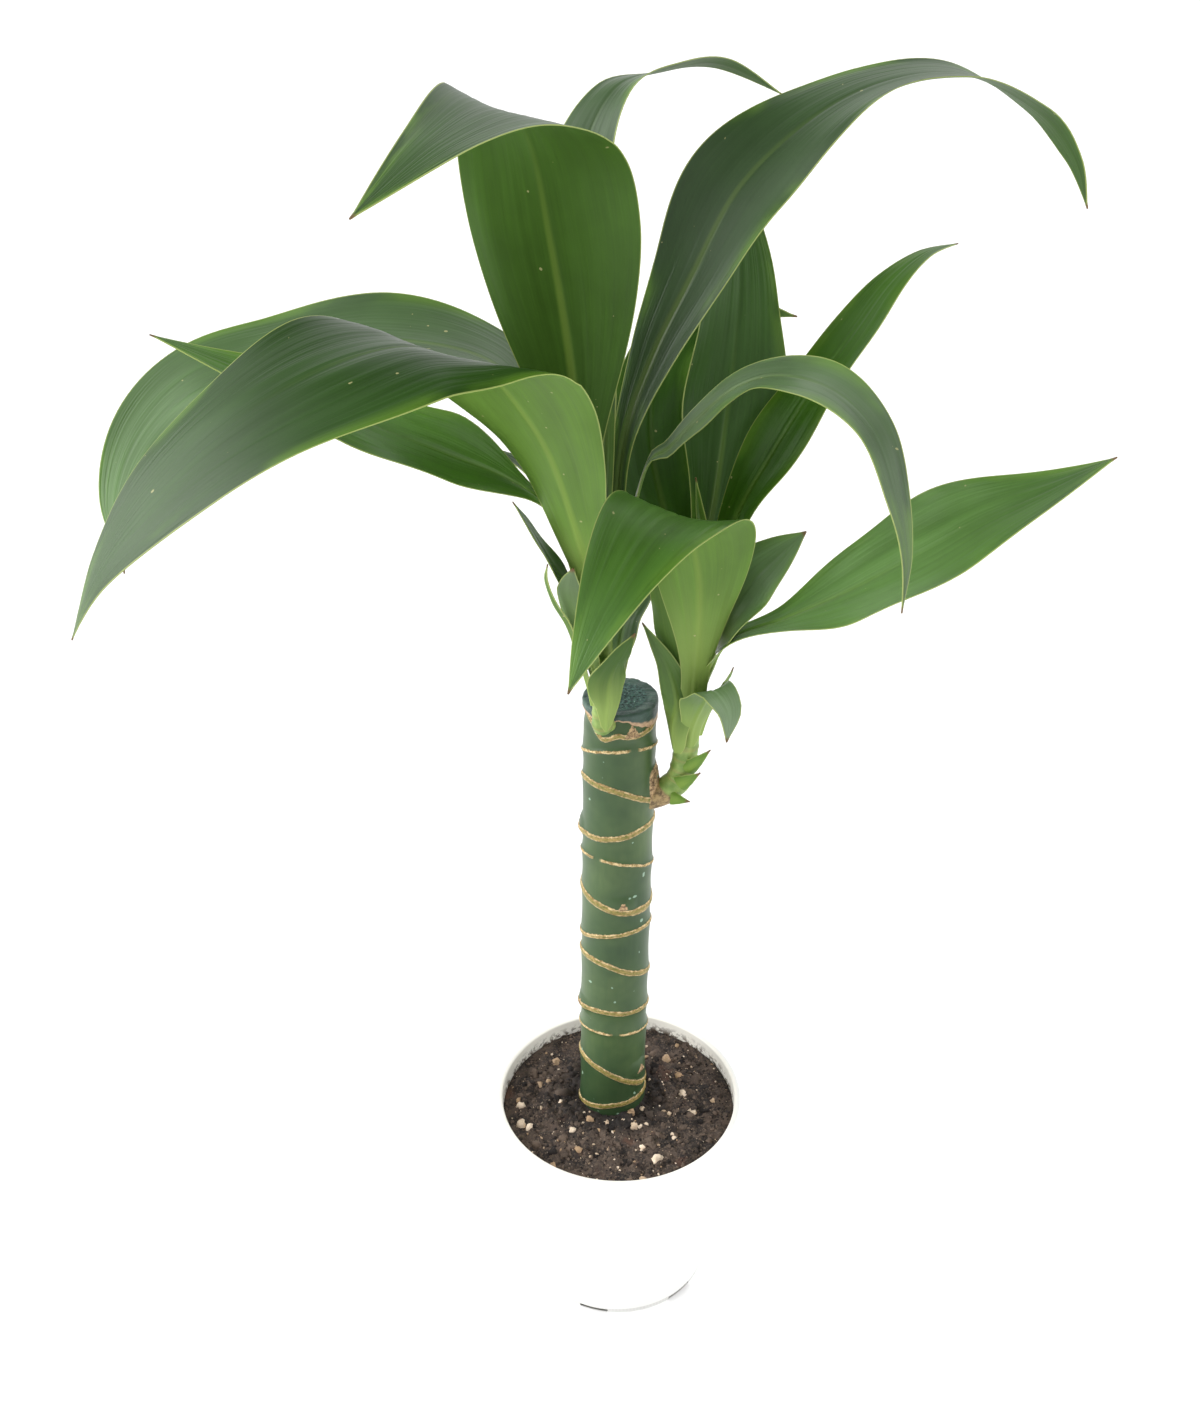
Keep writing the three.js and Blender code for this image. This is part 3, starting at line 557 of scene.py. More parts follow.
def makeSoil():
    centreX, centreY = caneCentre(soil["level"])
    inset = pot["wall"] + soil["gap"]
    rim = wallRadius(soil["level"]) - inset
    hole = cane["radius"] - soil["lap"]
    bottom = pot["floor"] + soil["gap"]
    bend = bottom + pot["cove"]
    # the rows under the top, down the pot's wall and across its floor
    foot = [(wallRadius(bend) - inset, bend), (wallRadius(bottom) - pot["wall"] - pot["cove"], bottom),
            (0, bottom)]

    def place(row, angle):
        top = row <= soil["rings"]
        radius, height = (lerp(0, rim, row / soil["rings"]), 0) if top else foot[row - soil["rings"] - 1]
        x, y = polar(radius, angle)
        if top:
            fromCane = hypot(x - centreX, y - centreY)
            heap = soil["heap"] * (1 - smoothstep(fromCane, hole, hole + soil["heapReach"]))
            rough = soil["roughness"] * (lumps(x, y, soil["coarse"], soil["seed"])
                                         + 0.5 * lumps(x, y, soil["fine"], soil["fineSeed"]))
            edge = smoothstep(radius, rim - soil["edgeFade"], rim)
            height = soil["level"] + heap + rough * (1 - edge) - edge
        return (Vector((x, y, height)) * mm,)

    piece = roundPiece("soil_surface", soil["rings"] + 4, soil["sides"], place)
    piece.data.flip_normals()
    shared = {"clearX": centreX * mm, "clearY": centreY * mm, "clear": (cane["radius"] + soil["clear"]) * mm}
    materials = {"soil": grainMaterial("soilCrumb", "soil", 0.6, 0.7),
                 "perlite": grainMaterial("perliteGrain", "perlite", 0.35)}
    trees = {}
    for name, values in grains.items():
        kind = values["kind"]
        smallest, largest = values["size"]
        inputs = {**shared, **{key: values[key] for key in ("density", "seed", "sink", "lumpiness")},
                  "smallest": smallest * mm, "largest": largest * mm,
                  "reach": (rim - largest * grainShape["rimGap"]) * mm}
        if kind not in trees:
            trees[kind] = scatterTree(kind + "Grains", materials[kind], inputs)
        layer = bpy.data.objects.new(name, piece.data.copy())
        bpy.context.scene.collection.objects.link(layer)
        grow(layer, trees[kind], inputs)
        dress(layer)
    dress(piece, "soil", material=soilMaterial())


# cane

cane = dict(foot=62, top=413, radius=20.3, footCentre=(-4.6, 9.5), topCentre=(-0.5, 9.7), step=0.9, sides=110,
            ringRise=0.6, ringCore=0.5, ringHalfHeight=1.7, waist=0.7, sealHeight=16, sealFade=4,
            sealInset=1.5, wobble=0.8, wobbleTurn=1.6, wobbleHeight=25, budEdge=0.9, gapFrom=6, gapTo=10,
            collarAngle=-118, collarDip=5.5, collarWidth=30, sharpAngle=50)
# the brown triangle round a bud, as shares of the bud's reach: its height, its half width at the foot and how
# far below the bud it starts
budBark = dict(height=1.1, halfWidth=0.62, down=0.4, fade=1.2, rough=0.5)

# leaf scars, from the foot up: height, rise towards +X and +Y, half width of the pale band, and the angle
# where it is broken, if it is
scars = [
    (130, 4, -4, 1.5, None), (153, -12, -5, 1.9, None), (187, -1, -5, 0.4, -87), (204, -1, -4, 1.3, None),
    (236, -8, -6, 1.6, None), (261, 4, -6, 1.0, None), (286, -5, 2, 2.0, None), (311, -4, -7, 0.5, -125),
    (334, 4, -1, 1.5, None), (357, -8, -8, 1.6, None), (384, 2, -8, 0.45, -68), (407, -3, 5, 1.2, None),
]

# buds that never opened, and last the callus where the right stem leaves: angle, height, how proud, reach
buds = [(175, 332, 1.6, 7), (-80, 288, 1.4, 6), (-35, 158, 1.4, 7), (-160, 206, 1.4, 6), (-72, 404, 1.6, 8),
        (-12, 362, 3, 13)]
canePaints = dict(green=((48, 72, 42), (80, 101, 60)), grain=(60, 86, 50), foot=(32, 56, 36),
                  olive=((98, 104, 40), (176, 150, 92)), tan=((150, 122, 74), (234, 208, 158)),
                  woody=((86, 66, 48), (208, 176, 134)), fleck=(140, 168, 146))


def caneMaterial():
    material, shader, place = newMaterial("caneBark")
    offset, band, shown, bark, height = read("scarOffset", "scarBand", "scarShown", "bark", "height")
    grain = noiseAt(vec("MULTIPLY", place, (1.0, 1.0, 0.12)), 420, 3, 0.6)
    ragged = times(minus(noiseAt(place, 330, 5, 0.75), 0.5), 2.2)
    away = plus(offset, ragged)
    green = blend(patches(place, 26, 0.3, 0.72, 3, 0.6), *canePaints["green"])
    green = blend(ramp(grain, 0.3, 0.8, 0.0, 0.5), green, canePaints["grain"])
    green = blend(times(ramp(height, 0.22, 0.0), 0.6), green, canePaints["foot"])
    inside = times(ramp(away, plus(band, 0.3), band), shown)
    paint = blend(inside, green, blend(patches(place, 420, 0.3, 0.7, 4, 0.7), *canePaints["olive"]))
    rimOf = calc("ABSOLUTE", minus(away, band))
    thin = ramp(noiseAt(place, 150, 3), 0.35, 0.65, 0.42, 0.75)
    line = times(ramp(rimOf, thin, 0.25), shown)
    paint = blend(line, paint, blend(patches(place, 480, 0.35, 0.65, 4, 0.7), *canePaints["tan"]))
    woody = blend(patches(place, 420, 0.35, 0.65, 5, 0.75), *canePaints["woody"])
    paint = blend(ramp(plus(bark, times(ragged, 0.3)), 0.35, 0.6), paint, woody)
    paint = blend(patches(place, 170, 0.74, 0.77, 1), paint, canePaints["fleck"])
    rough = calc("MAXIMUM", line, bark)
    setSurface(shader, paint, ramp(rough, 0.0, 1.0, 0.38, 0.85), 0.35)
    soft = addBump(shader, plus(line, inside), 0.5, 0.35)
    grainy = addBump(shader, grain, 0.12, 0.25, soft)
    addBump(shader, times(rough, noiseAt(place, 900, 3, 0.7)), 0.6, 0.5, grainy)
    return material


def degreesApart(angle, other):
    return abs((degrees(angle) - other + 180) % 360 - 180)


def caneSurface(height, angle):
    # how far the cane's side lies from its axis, and what marks it there
    across, deep = cos(angle), sin(angle)
    turned = (across * cane["wobbleTurn"], deep * cane["wobbleTurn"], height / cane["wobbleHeight"])
    sway = cane["wobble"] * noise.noise(Vector(turned))
    levels = [level + riseX * across + riseY * deep + sway for level, riseX, riseY, *_ in scars]
    dip = 1 - smoothstep(degreesApart(angle, cane["collarAngle"]), 0, cane["collarWidth"])
    levels[-1] -= cane["collarDip"] * dip
    nearest = min(range(len(scars)), key=lambda i: abs(height - levels[i]))
    offset = abs(height - levels[nearest])
    *_, band, broken = scars[nearest]
    shown = 1.0
    if broken is not None:
        shown = smoothstep(degreesApart(angle, broken), cane["gapFrom"], cane["gapTo"])
    rise = cane["ringRise"] * (1 - smoothstep(offset, cane["ringCore"], cane["ringHalfHeight"] + band * 0.5))
    above = [level for level in levels if level > height]
    below = [level for level in levels if level <= height]
    waist = 0
    if above and below:
        waist = cane["waist"] * sin(pi * (height - max(below)) / (min(above) - max(below)))
    bark, bulge = 0, 0
    for turn, level, proud, reach in buds:
        facing = cos(angle - radians(turn))
        towards = max(0, facing - cane["budEdge"]) / (1 - cane["budEdge"])
        up = (height - level) / reach
        rounded = towards * max(0, 1 - up * up)
        bulge = max(bulge, proud * rounded)
        spread = acos(min(1, facing)) * cane["radius"]
        climbed = up + budBark["down"]
        slope = reach * budBark["halfWidth"] * (1 - climbed / budBark["height"])
        triangle = smoothstep(slope - spread, 0, budBark["fade"]) * (climbed > 0)
        bark = max(bark, triangle if proud < 2 else smoothstep(rounded, 0.05, 0.3))
    rough = budBark["rough"] * bark * noise.noise(Vector((across * 11, deep * 11, height / 1.7)))
    sealed = smoothstep(height, cane["top"] - cane["sealHeight"], cane["top"] - cane["sealFade"])
    radius = cane["radius"] + rise * shown - waist + bulge + rough - cane["sealInset"] * sealed
    return radius, offset, band, shown, bark


def makeCane():
    span = cane["top"] - cane["foot"]
    steps = round(span / cane["step"])

    def place(row, angle):
        height = cane["foot"] + span * min(max(row - 1, 0), steps) / steps
        centreX, centreY = caneCentre(height)
        if row in (0, steps + 2):
            return Vector((centreX, centreY, height)) * mm, 99, 0, 0, 0, height / cane["top"]
        radius, *marks = caneSurface(height, angle)
        x, y = polar(radius, angle)
        point = Vector((centreX + x, centreY + y, height))
        return point * mm, *marks, (height - soil["level"]) / (cane["top"] - soil["level"])

    piece = roundPiece("cane_bark", steps + 3, cane["sides"], place,
                       ["scarOffset", "scarBand", "scarShown", "bark", "height"])
    dress(piece, "cane", cane["sharpAngle"], caneMaterial())


# wax seal

wax = dict(thickness=1.3, edge=0.8, lift=0.3, lap=-1, skirt=3.5, drip=7.5, dripAngle=-12, waves=5,
           waveDepth=1.2, torn=1.2, sides=150, rings=36, rough=0.45, core=0.62, coreFade=0.16, dome=0.6,
           dip=0.5, wander=0.25, sharpAngle=60)
waxPaints = dict(smooth=((30, 54, 48), (68, 94, 82)), fibrous=((22, 42, 40), (74, 108, 100)),
                 fleck=(150, 176, 168), bark=((124, 88, 62), (232, 196, 158)))


def waxMaterial():
    material, shader, place = newMaterial("sealingWax")
    core, torn = read("core", "torn")
    pores = patches(place, 620, 0.36, 0.6, 3, 0.7)
    cloud = noiseAt(place, 80, 4, 0.6)
    smooth = blend(ramp(cloud, 0.3, 0.7), *waxPaints["smooth"])
    paint = blend(core, smooth, blend(pores, *waxPaints["fibrous"]))
    paint = blend(times(patches(place, 900, 0.66, 0.7, 2), core), paint, waxPaints["fleck"])
    ragged = plus(torn, times(noiseAt(place, 300, 3, 0.7), 0.5))
    paint = blend(ramp(ragged, 0.75, 1.0), paint, blend(noiseAt(place, 500, 4, 0.7), *waxPaints["bark"]))
    setSurface(shader, paint, ramp(core, 0.0, 1.0, 0.42, 0.62))
    soft = addBump(shader, cloud, 0.3, 0.8)
    addBump(shader, times(pores, ramp(core, 0.0, 1.0, 0.25, 1.0)), 0.6, 0.7, soft)
    return material


def makeWax():
    inner = cane["radius"] - cane["sealInset"] + wax["lift"]
    outer = inner + wax["thickness"]
    top = wax["lift"] + wax["thickness"]
    rows = [(0, wax["lift"], 0), (inner, wax["lift"], 0), (inner, wax["lap"], 1), (outer, wax["lap"], 1)]
    rows += [(outer, lerp(wax["lap"], top - wax["edge"], i / 3), 0) for i in range(1, 4)]
    rows += [((outer - wax["edge"]) * (1 - i / wax["rings"]), top, 2) for i in range(wax["rings"] + 1)]

    def place(row, angle):
        # kind is 1 on the skirt's lower edge and 2 on the top
        radius, height, kind = rows[row]
        x, y = polar(radius, angle)
        share, core = radius / outer, 0
        if kind == 1:
            towards = max(0, cos(angle - radians(wax["dripAngle"])))
            wave = wax["waveDepth"] * sin(wax["waves"] * angle)
            torn = wax["torn"] * noise.noise(Vector((x / 3, y / 3, 7)))
            height = -wax["skirt"] - wax["drip"] * towards ** 3 - wave + torn
        elif kind == 2:
            core = 1 - smoothstep(share, wax["core"], wax["core"] + wax["coreFade"])
            height += wax["rough"] * lumps(x, y, 3.2, 2) + wax["rough"] * core * lumps(x, y, 1.1, 5)
            height += wax["dome"] * (1 - share * share) - wax["dip"] * smoothstep(share, 0.85, 0.7)
        centreX, centreY = caneCentre(cane["top"] + height)
        edge = wax["wander"] * noise.noise(Vector((x / 5, y / 5, height / 4))) if radius > inner else 0
        wider = 1 + edge / max(radius, 1)
        return Vector((centreX + x * wider, centreY + y * wider, cane["top"] + height)) * mm, core, kind == 1

    piece = roundPiece("wax_cap", len(rows), wax["sides"], place, ["core", "torn"])
    dress(piece, "wax_seal", wax["sharpAngle"], waxMaterial())


makeSoil()
print("soil")
makeCane()
makeWax()
print("cane and wax")

# stems

shoots = dict(left=dict(foot=(-10, -18, 423), tip=(-8, -22, 516), footRadius=5.4, tipRadius=2.4),
              right=dict(foot=(35, 4, 383), tip=(41, 0, 500), footRadius=6.6, tipRadius=2.6))
# below the shoots: two points with their radius, the heights of the rings and where the bark ends
stems = {
    "left_stem": dict(path=[(-4, 3, 402, 4.5), (-9, -13, 412, 4.6)], rings=(414, 421, 429, 437), barkTo=404),
    "right_stem": dict(path=[(11, 7, 351, 8.1), (27, 5, 359, 7.4)], rings=(366, 373, 380, 388), barkTo=358),
}
stemLook = dict(steps=150, sides=48, ringRise=0.35, ringCore=0.3, ringEdge=1.2, barkFrom=-3, barkFade=4,
                roughness=0.25, lumpScale=260.0, sharpAngle=50)
stemScales = dict(rows=16, columns=11, bow=1.2, bend=0.9, pointed=1.3, tipShare=0.06,
                  facing=(0.15, -0.9, 0.4), tone=(0.6, 0.5), sheath=6, places=[
                      dict(root=(35, -3, 375), tip=(47.5, -7, 391), halfWidth=5.6),
                      dict(root=(31, -4, 366), tip=(42.5, -8, 377), halfWidth=5.6),
                      dict(root=(27, -4, 358), tip=(37.5, -7, 357.5), halfWidth=4.4)])
stemPaints = dict(fresh=((104, 136, 58), (150, 172, 92)), woody=((104, 84, 56), (176, 150, 102)),
                  ring=(160, 140, 84))


def onCurve(rows, place):
    # a row of numbers on the smooth curve through the given rows
    last = len(rows) - 1
    i = min(int(place), last - 1)
    t = place - i
    before, start, end, after = (
        np.array(rows[k], float) for k in (max(i - 1, 0), i, i + 1, min(i + 2, last)))
    leave, arrive = (end - before) / 2, (after - start) / 2
    turn = 2 * (start - end) + leave + arrive
    return ((turn * t - turn + end - start - leave) * t + leave) * t + start


def shootOf(name):
    return shoots[name.split("_")[0]]


def shootAt(shoot, height):
    t = min(max((height - shoot["foot"][2]) / (shoot["tip"][2] - shoot["foot"][2]), 0), 1)
    x, y = (lerp(shoot["foot"][k], shoot["tip"][k], t) for k in (0, 1))
    return x, y, lerp(shoot["footRadius"], shoot["tipRadius"], t)


def stemMaterial():
    material, shader, place = newMaterial("stemSkin")
    brown, ring = read("bark", "ring")
    cloud = noiseAt(place, 120, 4)
    fresh = blend(ramp(cloud, 0.3, 0.7), *stemPaints["fresh"])
    woody = blend(patches(place, 420, 0.35, 0.65, 4, 0.7), *stemPaints["woody"])
    ragged = plus(brown, times(minus(cloud, 0.5), 0.9))
    paint = blend(ramp(ragged, 0.35, 0.7), fresh, woody)
    setSurface(shader, blend(times(ring, 0.35), paint, stemPaints["ring"]), 0.5)
    fine = addBump(shader, noiseAt(vec("MULTIPLY", place, (1.0, 1.0, 0.15)), 700, 3), 0.25, 0.3)
    addBump(shader, cloud, 0.25, 0.5, fine)
    return material


def sweepTree(inputs):
    # sweeps a round section along a path whose points carry their own thickness
    given = newTree("stemSweep", inputs)
    path = geometry("MeshToCurve", {"Mesh": given.geometry})
    section = geometry("CurvePrimitiveCircle", {"Resolution": given.sides, "Radius": 1.0})
    swept = geometry("CurveToMesh", {
        "Curve": path, "Profile Curve": section, "Scale": named("thick"), "Fill Caps": True})
    lump = noiseAt(geometry("InputPosition"), stemLook["lumpScale"], 2.0, 0.5)
    push = times(minus(lump, 0.5), times(given.roughness, 2.0))
    rough = geometry("SetPosition", {"Geometry": swept, "Offset": scaled(geometry("InputNormal"), push)})
    return endTree(rough, stemSkin)


def makeStem(name, values, tree, inputs):
    shoot = shootOf(name)
    rows = [*values["path"], (*shoot["foot"], shoot["footRadius"]), (*shoot["tip"], shoot["tipRadius"])]
    points, marks = [], {"thick": [], "ring": [], "bark": []}
    for step in range(stemLook["steps"] + 1):
        x, y, z, radius = onCurve(rows, step / stemLook["steps"] * (len(rows) - 1))
        ring = max(1 - smoothstep(abs(z - height), stemLook["ringCore"], stemLook["ringEdge"])
                   for height in values["rings"])
        points.append(Vector((x, y, z)) * mm)
        marks["ring"].append(ring)
        marks["thick"].append((radius + ring * stemLook["ringRise"]) * mm)
        marks["bark"].append(1 - smoothstep(z - values["barkTo"], stemLook["barkFrom"], stemLook["barkFade"]))
    piece = pathPiece(name + "_sweep", points, marks)
    grow(piece, tree, inputs)
    dress(piece, name, stemLook["sharpAngle"])


# leaves

blade = dict(clasp=1.2, splay=0.22, claspHeight=16, opening=0.4, cupping=0.14, neck=0.1, widest=0.5,
             taper=1.6, tipWidth=0.35, ripple=0.1, ripplePace=19.0, rippleSkew=2.0, leastBend=0.02,
             samples=400, baseGap=0.95, baseFacet=0.3, columns=41, rowLength=3.6, midrib=0.8, margin=0.4,
             groove=0.55, grooveWidth=1.6, corrugation=0.22, veinPitch=5.5, unevenness=1.3, sheath=45,
             baseRound=8, baseNarrow=0.5, seedStep=7.3, sharpAngle=50)
# what the blade tree is given unless a leaf or scale says otherwise, with lengths in metres
bladeInputs = {
    "rows": 100, "columns": blade["columns"], "length": 0.3, "widest": 0.03, "ripple": blade["ripple"],
    "phase": 0.0, "seed": 0.0, "toneLow": 0.5, "toneHigh": 0.5, "under": 0.5, "bloomLow": 0.0,
    "bloomHigh": 0.0, **metres(blade, "midrib", "margin", "groove", "grooveWidth", "corrugation", "veinPitch",
                               "unevenness", "sheath")}
# a leaf's colours: for each side from dark to light and the grey of its painted sheen, then its marks
leafPaints = dict(above=((26, 52, 16), (86, 138, 30), (122, 142, 112)),
                  below=((46, 80, 16), (120, 158, 64), (104, 124, 92)), rib=(128, 154, 64),
                  paintedEdgeLight=(110, 150, 46), sheath=(140, 164, 84), margin=(168, 180, 104), tip=(112, 88, 56),
                  speck=(176, 172, 120))

# Each leaf: the height and the direction it grows from, the way it heads, its half width and the points of
# its midrib, each with the blade's roll there unless that is 0. tone runs from dark to light and the painted
# sheen, a grey that stands in for reflected light, from green to grey, both given for the middle of the leaf
# and its tip. The name says which shoot it grows on.
leaves = {
    "left_leaf_front_sheath": dict(height=414, grows=-75, heads=-60, halfWidth=11.5, baseNarrow=0.12,
        baseRound=24, sheath=60, tone=(0.1, 0.3), sheenPaint=(0.1, 0.1), path=[(-6, -33, 452), (0, -34, 466),
        (6, -32, 476)]),
    "left_leaf_short_right": dict(height=424, grows=50, heads=15, halfWidth=11, tone=(0.25, 0.3),
        sheenPaint=(0.2, 0.5), path=[(1, -8, 470, 35), (9, -3, 482, 35), (15, 0, 490, 35), (19, 2, 498, 35)]),
    "left_leaf_curled": dict(height=428, grows=-150, heads=-140, halfWidth=3, clasp=0.6, tone=(0.5, 0.5),
        sheenPaint=(0.2, 0.1), path=[(-26, -34, 479), (-33, -40, 497), (-37, -45, 512), (-36, -54, 525)]),
    "left_leaf_low": dict(height=445, grows=178, heads=178, halfWidth=9, clasp=1, tone=(0.35, 0.3),
        sheenPaint=(0.1, 0.1), path=[(-27, -25, 494), (-36, -29, 515), (-44, -35, 534), (-52, -43, 552)]),
    "left_leaf_blunt": dict(height=436, grows=-125, heads=-100, halfWidth=7.5, taper=3.5, clasp=0.8,
        tone=(0.8, 0.8), sheenPaint=(0.5, 0.9), path=[(-25, -37, 496), (-26, -43, 509), (-24, -48, 520)]),
    "left_leaf_under": dict(height=454, grows=185, heads=175, halfWidth=25, clasp=1.1, neck=0.33,
        widest=0.52, tone=(0.7, 0.55), sheenPaint=(0.08, 0.05), path=[(-22, -20, 515, 5), (-34, -24, 539, -2),
        (-56, -32, 560, -8), (-81, -38, 574, -15), (-111, -43, 589, -15), (-143, -47, 607, -15),
        (-176, -50, 622, -12), (-208, -50, 635)]),
    "left_leaf_back_low": dict(height=462, grows=108, heads=160, halfWidth=12, tone=(0.3, 0.3),
        sheenPaint=(0.1, 0.1), path=[(-30, 0, 527), (-39, 6, 539), (-51, 12, 548), (-67, 18, 554)]),
    "left_leaf_sweeping": dict(height=470, grows=-110, heads=-160, halfWidth=47, taper=1.45, widest=0.5,
        neck=-0.02, cupping=-0.38, sheath=95, tone=(0.1, 0.15), under=0.5, sheenPaint=(0, 0.1),
        path=[(-24, -44, 543, 34), (-33, -54, 577, 34), (-44, -64, 603, 34), (-57, -76, 625, 28),
        (-73, -90, 639, 18), (-93, -104, 649, 4), (-121, -120, 646, -10), (-156, -134, 629, -17),
        (-190, -142, 602, -16), (-217, -144, 568, -8), (-234, -142, 534)]),
    "left_leaf_back_arching": dict(height=478, grows=165, heads=180, halfWidth=35, neck=-0.15, taper=2.2,
        widest=0.42, tone=(0.15, 0.45), sheenPaint=(0.22, 0.1), path=[(-26, -8, 548), (-37, 4, 571),
        (-54, 14, 591), (-72, 22, 600), (-103, 30, 604, -4), (-139, 36, 602, -8), (-177, 40, 593, -16),
        (-214, 38, 580, -26), (-240, 24, 558, -40), (-250, 0, 532, -55), (-243, -28, 507, -60)]),
    "left_leaf_drooping_right": dict(height=485, grows=30, heads=-40, halfWidth=15.5, neck=0.2, widest=0.55,
        tone=(0.22, 0.05), sheenPaint=(0.32, 0.22), path=[(10, -8, 552, 32), (22, -3, 562, 50), (35, 0, 575, 52),
        (52, -8, 594, 38), (71, -26, 607, 16), (90, -58, 613, 4), (105, -94, 607), (112, -124, 588),
        (115, -138, 570), (113, -150, 551)]),
    "left_leaf_upright": dict(height=492, grows=-92, heads=-112, halfWidth=38, neck=0.12, widest=0.48,
        tone=(0, 0.2), under=0.12, sheenPaint=(0, 0), path=[(-19, -40, 567, 20), (-25, -48, 626, 20),
        (-32, -62, 679.5, 12), (-38, -90, 725), (-46, -130, 746, -8), (-66, -180, 747, -4),
        (-91, -225, 734)]),
    "left_leaf_back_high": dict(height=499, grows=116, heads=35, halfWidth=17, clasp=1.6, neck=0.2,
        tone=(0.08, 0.08), sheenPaint=(0.25, 0.1), path=[(-9, 0, 585, 32), (-17, 20, 647, 30), (-20, 40, 686, 22),
        (-5, 60, 715, 2), (20, 78, 720.5, -22), (48, 98, 719, -30), (80, 115, 701, -25)]),
    "left_leaf_arching_right": dict(height=506, grows=60, heads=25, halfWidth=29.5, clasp=1.8, neck=0.1,
        widest=0.5, tone=(0.05, 0.1), sheenPaint=(0.1, 0.12), path=[(0, -1, 565, 30), (15, 16, 604, 28),
        (34, 34, 638, 25), (55, 52, 672, 20), (86, 68, 698, 10), (121, 82, 713, 2), (163, 90, 716),
        (200, 85, 700, -5), (218, 73, 680, -8), (225, 62, 659, -10)]),
    "right_leaf_basal": dict(height=386, grows=-140, heads=-100, halfWidth=9.5, widest=0.3, neck=0.0,
        clasp=1.1, tone=(0.35, 0.4), sheenPaint=(0.2, 0.3), path=[(29, -7, 422), (24, -10, 443), (17, -11, 458),
        (10, -10, 470)]),
    "right_leaf_drooping_small": dict(height=391, grows=-82, heads=-65, halfWidth=13, clasp=0.9, sheath=60,
        tone=(0.6, 1), sheenPaint=(0.45, 1), path=[(43, -20, 430), (47, -29, 441), (54, -36, 433),
        (53, -40, 417)]),
    "right_leaf_scale": dict(height=396, grows=-24, heads=-28, halfWidth=8, clasp=0.6, tone=(0.5, 0.4),
        sheenPaint=(0, 0.1), path=[(54, -10, 434), (57, -14, 446)]),
    "right_leaf_behind_front": dict(height=413, grows=-135, heads=-105, halfWidth=14, tone=(0.45, 0.5),
        sheenPaint=(0.1, 0.1), path=[(31, -8, 448), (26, -12, 476), (20, -15, 497), (14, -17, 516)]),
    "right_leaf_front": dict(height=404, grows=-88, heads=-118, halfWidth=31, sheath=120, tone=(0.5, 0.5),
        under=0.55, sheenPaint=(0.05, 0.1), path=[(38, -22, 480, 25), (35, -34, 518, 15), (26, -58, 551, -4),
        (12, -92, 563, -10), (-2, -118, 554, -10), (-15, -138, 534, -6), (-25, -150, 512)]),
    "right_leaf_spreading": dict(height=420, grows=-45, heads=-19, halfWidth=32, taper=1.9, neck=0.22,
        widest=0.57, sheath=60, tone=(0.95, 0.25), sheenPaint=(0.3, 0), path=[(55, -16, 464, 12),
        (81, -24, 480, 18), (110, -35, 502, 24), (138, -48, 527, 26), (166, -58, 551, 22),
        (193, -65, 569, 15), (217, -70, 586, 5)]),
    "right_leaf_short": dict(height=428, grows=-4, heads=0, halfWidth=21, clasp=0.8, sheath=70,
        tone=(0.6, 0.6), sheenPaint=(0.4, 0.5), path=[(54, -5, 471, 30), (65, -5, 491, 35), (77, -7, 506, 40),
        (90, -10, 521, 40)]),
    "right_leaf_back_left": dict(height=436, grows=125, heads=90, halfWidth=20, clasp=1, tone=(0.3, 0.3),
        sheenPaint=(0, 0.1), path=[(25, 20, 500, 20), (15, 30, 545, 10), (16, 44, 580), (30, 56, 600),
        (56, 64, 609), (88, 66, 604)]),
    "right_leaf_straight": dict(height=444, grows=64, heads=35, halfWidth=18.5, clasp=0.9, neck=0.05,
        tone=(0.45, 0.5), sheenPaint=(0, 0.1), path=[(57, 12, 517), (74, 18, 550), (94, 26, 582), (113, 36, 607),
        (130, 48, 627), (148, 62, 637), (167, 76, 638)]),
    "right_leaf_broad_back": dict(height=452, grows=118, heads=105, halfWidth=29, clasp=1, tone=(0.18, 0.3),
        sheenPaint=(0.05, 0), path=[(46, 22, 520, 10), (51, 34, 555, 10), (55, 44, 590, 10), (57, 54, 625, 10),
        (56, 66, 656, 10), (57, 82, 683, 10)]),
    "right_leaf_spear": dict(height=462, grows=-120, heads=-120, halfWidth=4, tone=(0.5, 0.5), sheenPaint=(0, 0),
        path=[(39, -7, 515), (37, -7, 535), (35, -6, 548)]),
}


def midribRows(leaf, shoot):
    foot = (shootAt(shoot, leaf["height"])[2] + blade["baseGap"]) / cos(blade["baseFacet"])
    rows = []
    for climb in (0, blade["claspHeight"]):
        height = leaf["height"] + climb
        axisX, axisY, _ = shootAt(shoot, height)
        x, y = polar(foot + blade["splay"] * climb, radians(leaf["grows"]))
        rows.append((axisX + x, axisY + y, height, leaf["grows"] - leaf["heads"]))
    return rows + [(*point, 0)[:4] for point in leaf["path"]]


